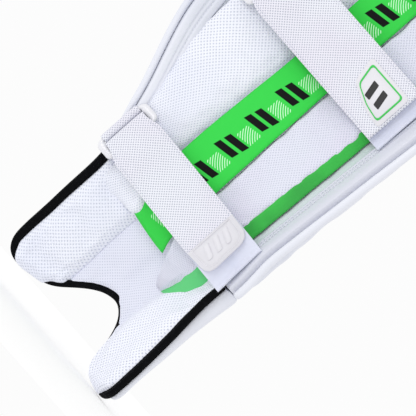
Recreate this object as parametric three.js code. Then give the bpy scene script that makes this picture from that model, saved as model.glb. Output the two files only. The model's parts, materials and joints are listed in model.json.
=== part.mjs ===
import * as THREE from 'three';

// Cricket leg pad for a right leg, worn upright. Millimetres.
// +Z runs up the leg, the leg is on the +Y side, and the inner side of the leg is +X.

// Heights up the pad
const PAD_TOP = 730;
const INSTEP_FOLD_Z = 174;
const KNEE_BARS_Z = 462;
const FLAP_FOLD_Z = 608;
const FOLD_GAP = 1.2;

// Depths off the lining plane, plus towards the leg and minus towards the bowler
const LINING_BACK = -6.2;
const LINING_FACE = -0.4;
const CORE_FRONT = -15.5;
const RIB_BACK = -18.2;
const RIB_CREST = -42;
const KNEE_CREST = -48;
const WING_FRONT = -14;
const GAP = 0.4;

// Edge outlines: height, distance from the centre line
const INNER_EDGE = curve([
  [0, 112], [30, 116], [100, 105], [177, 93], [240, 108], [350, 146],
  [440, 156], [530, 155], [610, 146], [680, 126], [730, 96],
]);
const OUTER_EDGE = curve([
  [0, -100], [30, -101], [73, -104.5], [110, -107.5], [145, -113.5], [177, -121], [240, -128], [350, -139],
  [440, -146], [530, -148], [610, -141], [680, -121], [730, -90],
]);
// How far the middle leans forward and how far each side wraps round the leg
const FORWARD = curve([[0, -85], [79, -50], [150, -18], [190, -4], [230, 0], [600, 0], [730, -14]]);
const INNER_RISE = curve([[0, 20], [177, 26], [300, 38], [430, 50], [590, 48], [730, 22]]);
const OUTER_RISE = curve([[0, 60], [80, 52], [177, 44], [300, 54], [430, 60], [590, 54], [730, 24]]);
const WRAP_POWER = 2.4;
// Lower outline over the shoe: side fraction, height
const HEM_POINTS = [
  [-1, 26], [-0.975, 10], [-0.92, 2], [-0.76, 0], [-0.63, 3], [-0.545, 11], [-0.48, 27], [-0.435, 45],
  [-0.39, 59], [-0.31, 71], [-0.17, 79], [-0.02, 76], [0.13, 67], [0.27, 54], [0.42, 39], [0.54, 32],
  [0.7, 28], [0.86, 25], [0.95, 27], [1, 38],
];
const HEM = curve(HEM_POINTS);
const TOP_DROP = 56;

// Bindings and pipings
const TAPE = 1.6;
const TAPE_LAP = 10;
const PIPING_RADIUS = 3.2;
const CORD_SIDES = 6;

// Straps: middle height, width, fold x, sewn x, outer end x, and how far off the lining each end stands
const STRAPS = [
  {
    name: 'ankle', z: 201, width: 63, foldX: 87, sewnX: -119,
    endX: -68, foldY: 34, sewnY: 46, slope: 0.04,
  },
  {
    name: 'calf', z: 426, width: 73, foldX: 110, sewnX: -122,
    endX: -107, foldY: 42, sewnY: 47, slope: 0.02,
  },
  {
    name: 'knee', z: 568, width: 63, foldX: 110, sewnX: -120,
    endX: -105, foldY: 46, sewnY: 46, slope: 0,
  },
];
const WEB = 2.2;
const BAR_RADIUS = 2.5;
const BAR_PLAY = 1.6;
const BAR_SPACING = 23;
const LOOP_TO_FOLD = 12;
const LOOP_BEND = 5;
const BAR_SIDES = 8;
const TAB_OUTER_TAIL = 3;
const TAB_INNER_TAIL = 4;
const LOOP_SIDE_PLAY = 1;
const STRAP_WAIST = 5.5;
const WAIST_LENGTH = 26;
const UNDER_STEPS = 8;
const OVER_STEPS = 10;
const FOLD_STEPS = 5;
const FOLD_END_ANGLE = Math.PI / 2 - 0.5;
const FOLD_CLEARANCE = 0.6;
const EASE_START = 20;
const EASE_LENGTH = 50;
const PATCH_STEPS = 6;
const PATCH_LENGTH = 33;
const PATCH_ROUNDING = 0.42;
const PATCH_FACE = 2.4;
const PATCH_BACK = -1.1;
// Label corners: distance in from the strap end, height as a share of the half width
const LABEL_CORNERS = [[2.5, 0.64], [2.5, -0.6], [30, -0.5], [60, -0.2], [68, 0.64]];
const LABEL_THICKNESS = 1;
const LABEL_GAP = 0.3;

const group = new THREE.Group();

// A smooth curve through the given points, flat beyond both ends
function curve(knots) {
  const last = knots.length - 1;
  const secant = (i) => (knots[i + 1][1] - knots[i][1]) / (knots[i + 1][0] - knots[i][0]);
  const slope = (i) => {
    if (i === 0 || i === last) {
      return secant(Math.min(i, last - 1));
    }
    const before = secant(i - 1);
    const after = secant(i);
    return before * after <= 0 ? 0 : (2 * before * after) / (before + after);
  };
  return (t) => {
    if (t <= knots[0][0]) {
      return knots[0][1];
    }
    if (t >= knots[last][0]) {
      return knots[last][1];
    }
    let i = 0;
    while (t > knots[i + 1][0]) {
      i += 1;
    }
    const span = knots[i + 1][0] - knots[i][0];
    const u = (t - knots[i][0]) / span;
    const start = (1 + 2 * u) * (1 - u) ** 2 * knots[i][1] + u * (1 - u) ** 2 * span * slope(i);
    const end = u * u * (3 - 2 * u) * knots[i + 1][1] - u * u * (1 - u) * span * slope(i + 1);
    return start + end;
  };
}

function lerp(a, b, t) {
  return a + (b - a) * t;
}

function ramp(t) {
  const u = Math.min(1, Math.max(0, t));
  return u * u * (3 - 2 * u);
}

// The x of a side fraction (-1 outer edge, 1 inner edge) at a height, kept a margin inside the edges
function across(fraction, z, margin = 0) {
  const middle = (INNER_EDGE(z) + OUTER_EDGE(z)) / 2;
  const half = (INNER_EDGE(z) - OUTER_EDGE(z)) / 2 - margin;
  return middle + fraction * half;
}

function liningY(x, z) {
  const middle = (INNER_EDGE(z) + OUTER_EDGE(z)) / 2;
  const half = (INNER_EDGE(z) - OUTER_EDGE(z)) / 2;
  const fraction = (x - middle) / half;
  const rise = fraction > 0 ? INNER_RISE(z) : OUTER_RISE(z);
  return FORWARD(z) + rise * Math.abs(fraction) ** WRAP_POWER;
}

// A point at x and z on the pad's curved middle surface, moved off it by a depth
function place(x, z, depth) {
  const slopeX = (liningY(x + 1, z) - liningY(x - 1, z)) / 2;
  const slopeZ = (liningY(x, z + 1) - liningY(x, z - 1)) / 2;
  const normal = new THREE.Vector3(-slopeX, 1, -slopeZ).normalize();
  return new THREE.Vector3(x, liningY(x, z), z).addScaledVector(normal, depth);
}

// Points evenly round a circle
function circle(radius, sides) {
  return Array.from({ length: sides }, (unused, k) => {
    const angle = (2 * Math.PI * k) / sides;
    return [radius * Math.cos(angle), radius * Math.sin(angle)];
  });
}

// Outward direction at each point of a path of x and z, which runs with the pad on its left
function outwardAt(path, i) {
  const [x0, z0] = path[Math.max(i - 1, 0)];
  const [x1, z1] = path[Math.min(i + 1, path.length - 1)];
  const length = Math.hypot(x1 - x0, z1 - z0);
  return [(z1 - z0) / length, -(x1 - x0) / length];
}

// A closed mesh turned to face outwards, added to the group under its name
function addSolid(name, points, triangles, look) {
  const geometry = new THREE.BufferGeometry();
  let volume = 0;
  for (const [a, b, c] of triangles) {
    volume += points[a].dot(points[b].clone().cross(points[c]));
  }
  const index = triangles.flatMap(([a, b, c]) => (volume < 0 ? [a, c, b] : [a, b, c]));
  const positions = points.flatMap((point) => point.toArray());
  geometry.setAttribute('position', new THREE.Float32BufferAttribute(positions, 3));
  geometry.setIndex(index);
  geometry.computeVertexNormals();
  const [color, roughness, metalness] = look;
  const mesh = new THREE.Mesh(geometry, new THREE.MeshStandardMaterial({ color, roughness, metalness }));
  mesh.name = name;
  group.add(mesh);
}

// A slab between two matching grids of points
function addSlab(name, face, back, look) {
  const rows = face.length;
  const columns = face[0].length;
  const count = rows * columns;
  const points = [...face.flat(), ...back.flat()];
  const triangles = [];
  const quad = (a, b, c, d) => {
    triangles.push([a, b, c], [a, c, d]);
  };
  for (let i = 0; i < rows - 1; i += 1) {
    for (let j = 0; j < columns - 1; j += 1) {
      const a = i * columns + j;
      quad(a, a + 1, a + columns + 1, a + columns);
      quad(count + a, count + a + columns, count + a + columns + 1, count + a + 1);
    }
  }
  const rim = [];
  for (let j = 0; j < columns - 1; j += 1) {
    rim.push(j);
  }
  for (let i = 0; i < rows - 1; i += 1) {
    rim.push(i * columns + columns - 1);
  }
  for (let j = columns - 1; j > 0; j -= 1) {
    rim.push((rows - 1) * columns + j);
  }
  for (let i = rows - 1; i > 0; i -= 1) {
    rim.push(i * columns);
  }
  rim.forEach((a, k) => {
    const b = rim[(k + 1) % rim.length];
    quad(a, count + a, count + b, b);
  });
  addSolid(name, points, triangles, look);
}

// A solid swept through rings of points, capped with the given flat section or joined end to end
function addSweep(name, rings, section, look) {
  const size = rings[0].length;
  const points = rings.flat();
  const triangles = [];
  const joined = section === null;
  const steps = joined ? rings.length : rings.length - 1;
  for (let i = 0; i < steps; i += 1) {
    const near = i * size;
    const far = ((i + 1) % rings.length) * size;
    for (let j = 0; j < size; j += 1) {
      const k = (j + 1) % size;
      triangles.push([near + j, near + k, far + k], [near + j, far + k, far + j]);
    }
  }
  if (!joined) {
    const outline = section.map(([a, b]) => new THREE.Vector2(a, b));
    const turn = THREE.ShapeUtils.isClockWise(outline) ? -1 : 1;
    const end = (rings.length - 1) * size;
    for (const [a, b, c] of THREE.ShapeUtils.triangulateShape(outline, [])) {
      const flip = turn > 0;
      triangles.push(flip ? [a, c, b] : [a, b, c]);
      triangles.push(flip ? [end + a, end + b, end + c] : [end + a, end + c, end + b]);
    }
  }
  addSolid(name, points, triangles, look);
}

// Side fractions for a panel's columns, closer together towards both ends
function spread(left, right, columns) {
  return Array.from({ length: columns + 1 }, (unused, j) => {
    const even = j / columns;
    const eased = (1 - Math.cos(Math.PI * even)) / 2;
    return lerp(left, right, (even + eased) / 2);
  });
}

// Side fractions that follow the bends of the hem
function hemColumns(left, right) {
  const fractions = HEM_POINTS.map(([fraction]) => fraction);
  const inside = fractions.filter((f) => f > left + 0.01 && f < right - 0.01);
  return [left, ...inside, right];
}

// A point moved sideways
function shifted(point, distance) {
  point.x += distance;
  return point;
}
const noShift = () => 0;

// A panel laid on the pad's curve through side fractions, between two height curves
function addPanel(name, spec, look) {
  const { fractions, low, high, face, back, rows, margin = 0 } = spec;
  const { faceShift = noShift, backShift = noShift } = spec;
  const left = fractions[0];
  const right = fractions[fractions.length - 1];
  const grids = [[], []];
  for (let i = 0; i <= rows; i += 1) {
    const t = i / rows;
    const spots = fractions.map((fraction) => {
      const z = lerp(low(fraction), high(fraction), t);
      return { x: across(fraction, z, margin), z, fraction, side: (fraction - left) / (right - left) };
    });
    grids[0].push(spots.map(({ x, z, side, fraction }) => shifted(
      place(x, z, face(side, t, z)), faceShift(fraction, z),
    )));
    grids[1].push(spots.map(({ x, z, side, fraction }) => shifted(
      place(x, z, back(side, t, z)), backShift(fraction, z),
    )));
  }
  addSlab(name, grids[0], grids[1], look);
}

// Share of a roll's end taper that also narrows it sideways
const END_PINCH = 0.3;
// How far the shoe part's outer bound edge stands in from the outline, and the wing's foot stands out
const edgeInset = (z) => 7.2 * ramp((z - 95) / 80) - 1.2 * ramp((z - 15) / 35);
const wingFlare = (z) => 5.5 * ramp((235 - z) / 55);
const insetAt = (fraction, z) => edgeInset(z) * Math.max(0, -fraction) ** 4;

// How full a stuffed roll is at a step along it, drawn in at both ends
function endSize(i, steps, taper) {
  return lerp(taper, 1, Math.sqrt(Math.min(1, Math.min(i, steps - i) / 1.5)));
}

// A stuffed roll running up the pad, its section given in half widths and depths
function addUpright(name, spec, look) {
  const { z0, z1, steps, centre, halfWidth, section, taper = 0.5 } = spec;
  const rings = [];
  for (let i = 0; i <= steps; i += 1) {
    const z = lerp(z0, z1, i / steps);
    const size = endSize(i, steps, taper);
    rings.push(section.map(([a, depth]) => place(
      centre(z) + a * halfWidth(z) * lerp(1, size, END_PINCH), z, lerp(section[0][1], depth, size),
    )));
  }
  addSweep(name, rings, section, look);
}

const WHITE_PU = ['#f2f3f7', 0.45, 0];
const WHITE_MESH = ['#e6e9f1', 0.9, 0];
const FOAM = ['#e9e4d2', 0.95, 0];
const CANE = ['#c9a66b', 0.7, 0];
const BLACK_TAPE = ['#0b0c10', 0.75, 0];
const GREEN_SATIN = ['#4fdc5f', 0.4, 0];
const GREEN_CLOTH = ['#3fb350', 0.8, 0];
const WEBBING = ['#e9ebf2', 0.85, 0];
const PLASTIC = ['#f4f3f5', 0.35, 0];
const RUBBER = ['#eceaf0', 0.55, 0];

const level = (height) => () => height;

// Lower part over the shoe
const INSERT_FACE = -3.2;
const INSERT_BACK = -5.4;
const COVER_FACE = -8.7;
const COVER_EDGE = -11.5;
const COVER_LOW = -15;
const COVER_HIGH = -25;
const COVER_FULL_Z = 150;
const LOBE_BACK = -2.6;
const LOBE_EDGE = -1;
const PUFF_TOP = 146;
const instepTop = INSTEP_FOLD_Z - FOLD_GAP;
const hemInside = (gap) => (fraction) => HEM(fraction) + gap;
// A depth that swells from the taped border to the middle, and falls back above a height
const puff = (edge, middle, topZ = Infinity, border = 0.06) => (side, t, z) => {
  const swell = ramp((Math.min(side, 1 - side) - border) / 0.16) * ramp((t - 0.15) / 0.3);
  return lerp(edge, middle, swell * ramp((topZ - z) / 30));
};
const coverFront = (side, t, z) => {
  const full = lerp(COVER_LOW, COVER_HIGH, ramp(z / COVER_FULL_Z));
  return lerp(COVER_EDGE, full, ramp(Math.min(side, 1 - side) / 0.04) * ramp(t / 0.2 + 0.2));
};
addPanel('instep_front_cover', {
  fractions: hemColumns(-1, 1), low: hemInside(1), high: level(instepTop), margin: 1,
  face: level(COVER_FACE), back: coverFront, rows: 6, faceShift: insetAt,
}, WHITE_PU);
addPanel('instep_foam_insert', {
  fractions: hemColumns(-0.9, 0.9), low: hemInside(14), high: level(instepTop - 3), margin: 3,
  face: level(INSERT_FACE), back: level(INSERT_BACK), rows: 4, faceShift: insetAt, backShift: insetAt,
}, FOAM);
const LOBE_SEAM = 0.35;
addPanel('inner_lobe_lining', {
  fractions: hemColumns(LOBE_SEAM + 0.006, 1), low: hemInside(3), high: level(instepTop), margin: 3,
  face: puff(LOBE_EDGE, 6, PUFF_TOP, 0.15), back: level(LOBE_BACK), rows: 6,
}, WHITE_MESH);
addPanel('instep_lining', {
  fractions: hemColumns(-1, LOBE_SEAM), low: hemInside(3), high: level(instepTop), margin: 3,
  face: puff(LOBE_EDGE, 2, PUFF_TOP), back: level(LOBE_BACK), rows: 6,
  faceShift: insetAt, backShift: insetAt,
}, WHITE_MESH);

// Tape folded round an edge: the section is outward distance and depth
function addTape(name, path, front, back, look, shift = noShift) {
  const section = [
    [-TAPE_LAP, back + TAPE], [0, back + TAPE], [TAPE + 1, back - 1], [TAPE + 1, front + 1],
    [0, front - TAPE], [-TAPE_LAP, front - TAPE], [-TAPE_LAP, front], [0, front],
    [0.8, front + 1], [0.8, back - 1], [0, back], [-TAPE_LAP, back],
  ];
  const rings = path.map(([x, z], i) => {
    const [outX, outZ] = outwardAt(path, i);
    return section.map(([out, depth]) => shifted(
      place(x + outX * out, z + outZ * out, depth), shift(z),
    ));
  });
  addSweep(name, rings, section, look);
}
const hemPoint = (fraction) => [across(fraction, HEM(fraction)), HEM(fraction)];
const sidePoint = (fraction, z) => [across(fraction, z), z];
const EDGE_FRONT = -6;
const EDGE_BACK = 0.2;
const ARCH_INNER = 0.62;
const ARCH_OUTER = -0.7;
const TAPE_END_GAP = 3;
const edgeSteps = 6;
const outerPath = [];
for (let i = 0; i <= edgeSteps; i += 1) {
  outerPath.push(sidePoint(-1, lerp(instepTop - TAPE_END_GAP, HEM(-1) + 10, i / edgeSteps)));
}
outerPath.push(...[-1, -0.99, -0.975, -0.92, -0.85, -0.76, ARCH_OUTER - 0.035].map(hemPoint));
const archPath = hemColumns(ARCH_OUTER, ARCH_INNER).map(hemPoint);
const innerPath = [ARCH_INNER + 0.02, 0.7, 0.78, 0.86, 0.92, 0.95, 0.985, 1].map(hemPoint);
for (let i = 0; i <= edgeSteps; i += 1) {
  innerPath.push(sidePoint(1, lerp(HEM(1) + 10, instepTop, i / edgeSteps)));
}
addTape('outer_edge_black_binding', outerPath, EDGE_FRONT, EDGE_BACK, BLACK_TAPE, edgeInset);
addTape('arch_black_binding', archPath, EDGE_FRONT, EDGE_BACK, BLACK_TAPE);
addTape('inner_edge_black_binding', innerPath, EDGE_FRONT, EDGE_BACK, BLACK_TAPE);

// Shin: front ribs with cane rods in the valleys behind them
const shinLow = INSTEP_FOLD_Z + FOLD_GAP;
const shinHigh = FLAP_FOLD_Z - FOLD_GAP;
const RIBS = 7;
const RIB_SPAN = 0.86;
const ribPitch = (z) => (RIB_SPAN * (INNER_EDGE(z) - OUTER_EDGE(z))) / RIBS;
const ribCentre = (i) => (z) => across(0, z) + (i - (RIBS - 1) / 2) * ribPitch(z);
const ribSection = (back, crest) => [
  [-0.7, back], [0.7, back], [0.97, lerp(back, crest, 0.3)], [0.85, lerp(back, crest, 0.75)],
  [0.35, crest], [-0.35, crest], [-0.85, lerp(back, crest, 0.75)], [-0.97, lerp(back, crest, 0.3)],
];
for (let i = 0; i < RIBS; i += 1) {
  addUpright(`shin_rib_${i + 1}`, {
    z0: shinLow + 2, z1: KNEE_BARS_Z - 3, steps: 11, centre: ribCentre(i),
    halfWidth: (z) => ribPitch(z) / 2 - GAP / 2, section: ribSection(RIB_BACK, RIB_CREST),
  }, WHITE_PU);
}
const CANE_RADIUS = 1.9;
const CANE_DEPTH = RIB_BACK - CANE_RADIUS + 0.3;
const CANE_STEPS = 8;
const CANE_END_INSET = 13;
for (let i = 0; i < RIBS - 1; i += 1) {
  const rings = [];
  const section = circle(CANE_RADIUS, CORD_SIDES);
  for (let k = 0; k <= CANE_STEPS; k += 1) {
    const z = lerp(shinLow + CANE_END_INSET, KNEE_BARS_Z - CANE_END_INSET, k / CANE_STEPS);
    const x = ribCentre(i + 0.5)(z);
    rings.push(section.map(([a, b]) => place(x + a, z, CANE_DEPTH + b)));
  }
  addSweep(`cane_rod_${i + 1}`, rings, section, CANE);
}
addPanel('shin_foam_core', {
  fractions: spread(-0.785, 0.81, 12), low: level(shinLow), high: level(shinHigh),
  face: level(LINING_BACK - GAP), back: level(CORE_FRONT), rows: 10,
}, FOAM);
addPanel('shin_lining', {
  fractions: spread(-0.785, 0.81, 12), low: level(shinLow), high: level(shinHigh),
  face: level(LINING_FACE), back: level(LINING_BACK), rows: 10,
}, WHITE_MESH);

// Side wings with their piped rims
const wingBulge = (side) => 2.2 * Math.sin(Math.PI * side);
const OUTER_WING_ROOT = -0.82;
const flareAt = (fraction, z) => -wingFlare(z) * (OUTER_WING_ROOT - fraction) / (OUTER_WING_ROOT + 1);
addPanel('outer_side_wing', {
  fractions: spread(-1, OUTER_WING_ROOT, 4), low: level(shinLow), high: level(shinHigh), margin: 2,
  face: (side) => 1 + wingBulge(side), back: (side) => WING_FRONT - wingBulge(side), rows: 14,
  faceShift: flareAt, backShift: flareAt,
}, WHITE_PU);
addPanel('inner_side_wing', {
  fractions: spread(0.85, 1, 4), low: level(shinLow), high: level(shinHigh), margin: 2,
  face: (side) => 1 + wingBulge(side), back: (side) => WING_FRONT - wingBulge(side), rows: 10,
}, WHITE_PU);
function addPiping(name, path, depth, radius, look, shift = noShift) {
  const section = circle(radius, CORD_SIDES);
  const rings = path.map(([x, z], i) => {
    const [outX, outZ] = outwardAt(path, i);
    return section.map(([out, d]) => shifted(
      place(x + outX * (out + radius), z + outZ * (out + radius), depth + d), shift(z),
    ));
  });
  addSweep(name, rings, section, look);
}
const WING_STEPS = 14;
const INNER_PIPING_INSET = 1;
const outerPipingPath = [];
const innerPipingPath = [];
for (let i = 0; i <= WING_STEPS; i += 1) {
  const t = i / WING_STEPS;
  outerPipingPath.push(sidePoint(-1, lerp(shinHigh, shinLow, t)));
  const [x, z] = sidePoint(1, lerp(shinLow, shinHigh, t));
  innerPipingPath.push([x - INNER_PIPING_INSET, z]);
}
addPiping(
  'outer_wing_piping', outerPipingPath, WING_FRONT / 2, PIPING_RADIUS, WHITE_PU, (z) => -wingFlare(z),
);
addPiping('inner_wing_piping', innerPipingPath, WING_FRONT / 2, PIPING_RADIUS, WHITE_PU);

// Knee roll: three bars across the front
const BARS = 3;
const barPitch = (FLAP_FOLD_Z - KNEE_BARS_Z) / BARS;
for (let i = 0; i < BARS; i += 1) {
  const z = KNEE_BARS_Z + (i + 0.5) * barPitch;
  const half = barPitch / 2 - GAP;
  const section = ribSection(RIB_BACK, KNEE_CREST);
  const rings = [];
  const steps = 14;
  for (let k = 0; k <= steps; k += 1) {
    const t = k / steps;
    const size = endSize(k, steps, 0.5);
    const x = across(lerp(-0.9, 0.9, t), z);
    rings.push(section.map(([a, d]) => place(
      x, z + a * half * lerp(1, size, END_PINCH), lerp(RIB_BACK, d, size),
    )));
  }
  addSweep(`knee_roll_bar_${i + 1}`, rings, section, WHITE_PU);
}

// Leg-side padding
const BOLSTER_TOP = 530;
const BOLSTER_LOW = 160;
const BOLSTER_STEPS = 14;
const BOLSTER_TAPER = 0.6;
const BOLSTER_BASE = 0.8;
const BOLSTER_HALF = 31;
// How far the roll's inner side widens towards its lower end, shared by the strip over it
const spreadLow = (z) => 3.5 * ramp((400 - z) / 160);
const CROWN = [[-0.93, 23], [-0.5, 25.2], [0, 25.6], [0.5, 25.2], [0.93, 23]];
addUpright('centre_bolster', {
  z0: BOLSTER_LOW, z1: BOLSTER_TOP, steps: BOLSTER_STEPS, taper: BOLSTER_TAPER,
  centre: spreadLow, halfWidth: (z) => BOLSTER_HALF + spreadLow(z),
  section: [[-1, BOLSTER_BASE], [-1.02, 14], ...CROWN, [1.02, 14], [1, BOLSTER_BASE]],
}, WHITE_MESH);
const stripGrid = (lift) => {
  const grid = [];
  for (let i = 0; i <= BOLSTER_STEPS; i += 1) {
    const z = lerp(BOLSTER_LOW, BOLSTER_TOP, i / BOLSTER_STEPS);
    const size = endSize(i, BOLSTER_STEPS, BOLSTER_TAPER);
    grid.push(CROWN.map(([a, depth]) => place(
      spreadLow(z) + a * (BOLSTER_HALF + spreadLow(z)) * lerp(1, size, END_PINCH),
      z, lerp(BOLSTER_BASE, depth, size) + lift,
    )));
  }
  return grid;
};
addSlab('green_centre_strip', stripGrid(1.7), stripGrid(0.5), GREEN_SATIN);
const innerBolsterRoot = (z) => 33 + 2 * spreadLow(z);
const INNER_BOLSTER_LOW = 161;
const innerBolsterEdge = (z) => Math.min(across(0.8, z), INNER_EDGE(z) - 10);
addUpright('inner_mesh_bolster', {
  z0: INNER_BOLSTER_LOW, z1: BOLSTER_TOP, steps: 13, taper: 0.35,
  centre: (z) => (innerBolsterRoot(z) + innerBolsterEdge(z)) / 2,
  halfWidth: (z) => (innerBolsterEdge(z) - innerBolsterRoot(z)) / 2,
  section: [
    [-1, BOLSTER_BASE], [-0.99, 9], [-0.8, 14], [-0.3, 16],
    [0.3, 13], [0.8, 7], [1, 2.8], [1, BOLSTER_BASE],
  ],
}, WHITE_MESH);
const OUTER_BOLSTER_LOW = 122;
const flapEdge = curve([
  [OUTER_BOLSTER_LOW, -58], [150, -74], [180, -83],
  [240, -88], [380, -98], [BOLSTER_TOP, -102],
]);
const flapRoot = curve([[OUTER_BOLSTER_LOW, -44], [150, -36], [180, -33.5], [BOLSTER_TOP, -33.5]]);
addUpright('outer_mesh_bolster', {
  z0: OUTER_BOLSTER_LOW, z1: BOLSTER_TOP, steps: 15, taper: 0.45,
  centre: (z) => (flapEdge(z) + flapRoot(z)) / 2, halfWidth: (z) => (flapRoot(z) - flapEdge(z)) / 2,
  section: [[-1, 3], [-1, 15], [-0.85, 18.5], [-0.4, 20.5], [0.3, 22], [0.85, 21], [1, 15], [1, 3]],
}, WHITE_MESH);
const gussetGrid = (out) => {
  const grid = [];
  for (let i = 0; i <= 14; i += 1) {
    const z = lerp(126, BOLSTER_TOP - 4, i / 14);
    const x = flapEdge(z);
    const height = lerp(0.55, 1, Math.min(1, Math.min(i, 14 - i) / 2));
    grid.push([
      place(x - out - 0.4, z, lerp(3, 16, height)),
      place(x - out - 3, z, lerp(3, 9, height)),
      place(x - out - 6, z, 3),
    ]);
  }
  return grid;
};
addSlab('green_gusset', gussetGrid(2.2), gussetGrid(0.8), GREEN_CLOTH);
const cupLow = BOLSTER_TOP + 4;
const cupHigh = FLAP_FOLD_Z - 5;
for (const [name, centre, halfWidth] of [
  ['inner_knee_cushion', (z) => across(0.5, z), 34], ['outer_knee_cushion', (z) => across(-0.48, z), 34],
]) {
  addUpright(name, {
    z0: cupLow, z1: cupHigh, steps: 6, centre, halfWidth: level(halfWidth), taper: 0.45,
    section: [
      [-1, BOLSTER_BASE], [-1, 8], [-0.7, 16], [-0.2, 19], [0.2, 19], [0.7, 16], [1, 8], [1, BOLSTER_BASE],
    ],
  }, WHITE_MESH);
}
addPanel('knee_cup_pad', {
  fractions: spread(-0.2, 0.22, 4), low: level(cupLow), high: level(cupHigh),
  face: puff(3, 9), back: level(0.2), rows: 4,
}, WHITE_MESH);

// Top flap above the knee
const flapLow = FLAP_FOLD_Z + FOLD_GAP;
const topEdge = (drop) => (fraction) => PAD_TOP - drop - TOP_DROP * Math.abs(fraction) ** 2.6;
addPanel('top_flap_core', {
  fractions: spread(-0.97, 0.97, 12), low: level(flapLow), high: topEdge(5), margin: 2,
  face: level(LINING_BACK - GAP), back: level(WING_FRONT + 1.5), rows: 5,
}, FOAM);
addPanel('top_flap_lining', {
  fractions: spread(-0.97, 0.97, 12), low: level(flapLow), high: topEdge(5), margin: 2,
  face: (side, t, z) => puff(-0.6, 5)(side, 1 - t, z), back: level(LINING_BACK), rows: 5,
}, WHITE_MESH);
const TOP_RIBS = 5;
for (let i = 0; i < TOP_RIBS; i += 1) {
  const side = (i - (TOP_RIBS - 1) / 2) / ((TOP_RIBS - 1) / 2);
  const pitch = (z) => (0.92 * (INNER_EDGE(z) - OUTER_EDGE(z))) / TOP_RIBS;
  addUpright(`top_flap_rib_${i + 1}`, {
    z0: flapLow + 2, z1: topEdge(12)(Math.abs(side) * 0.93), steps: 6,
    centre: (z) => across(0, z) + (i - (TOP_RIBS - 1) / 2) * pitch(z),
    halfWidth: (z) => pitch(z) / 2 - GAP, section: ribSection(WING_FRONT - 1.6, -34),
  }, WHITE_PU);
}
const topPath = [];
for (let i = 0; i <= 4; i += 1) {
  topPath.push(sidePoint(1, lerp(flapLow, topEdge(0)(1), i / 4)));
}
const topSteps = 16;
for (let i = 1; i < topSteps; i += 1) {
  const fraction = Math.cos((Math.PI * i) / topSteps);
  const z = topEdge(0)(fraction);
  topPath.push([across(fraction, z), z]);
}
for (let i = 4; i >= 0; i -= 1) {
  topPath.push(sidePoint(-1, lerp(flapLow, topEdge(0)(1), i / 4)));
}
addTape('top_flap_binding', topPath, WING_FRONT + 0.6, EDGE_BACK, WHITE_PU);

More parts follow.
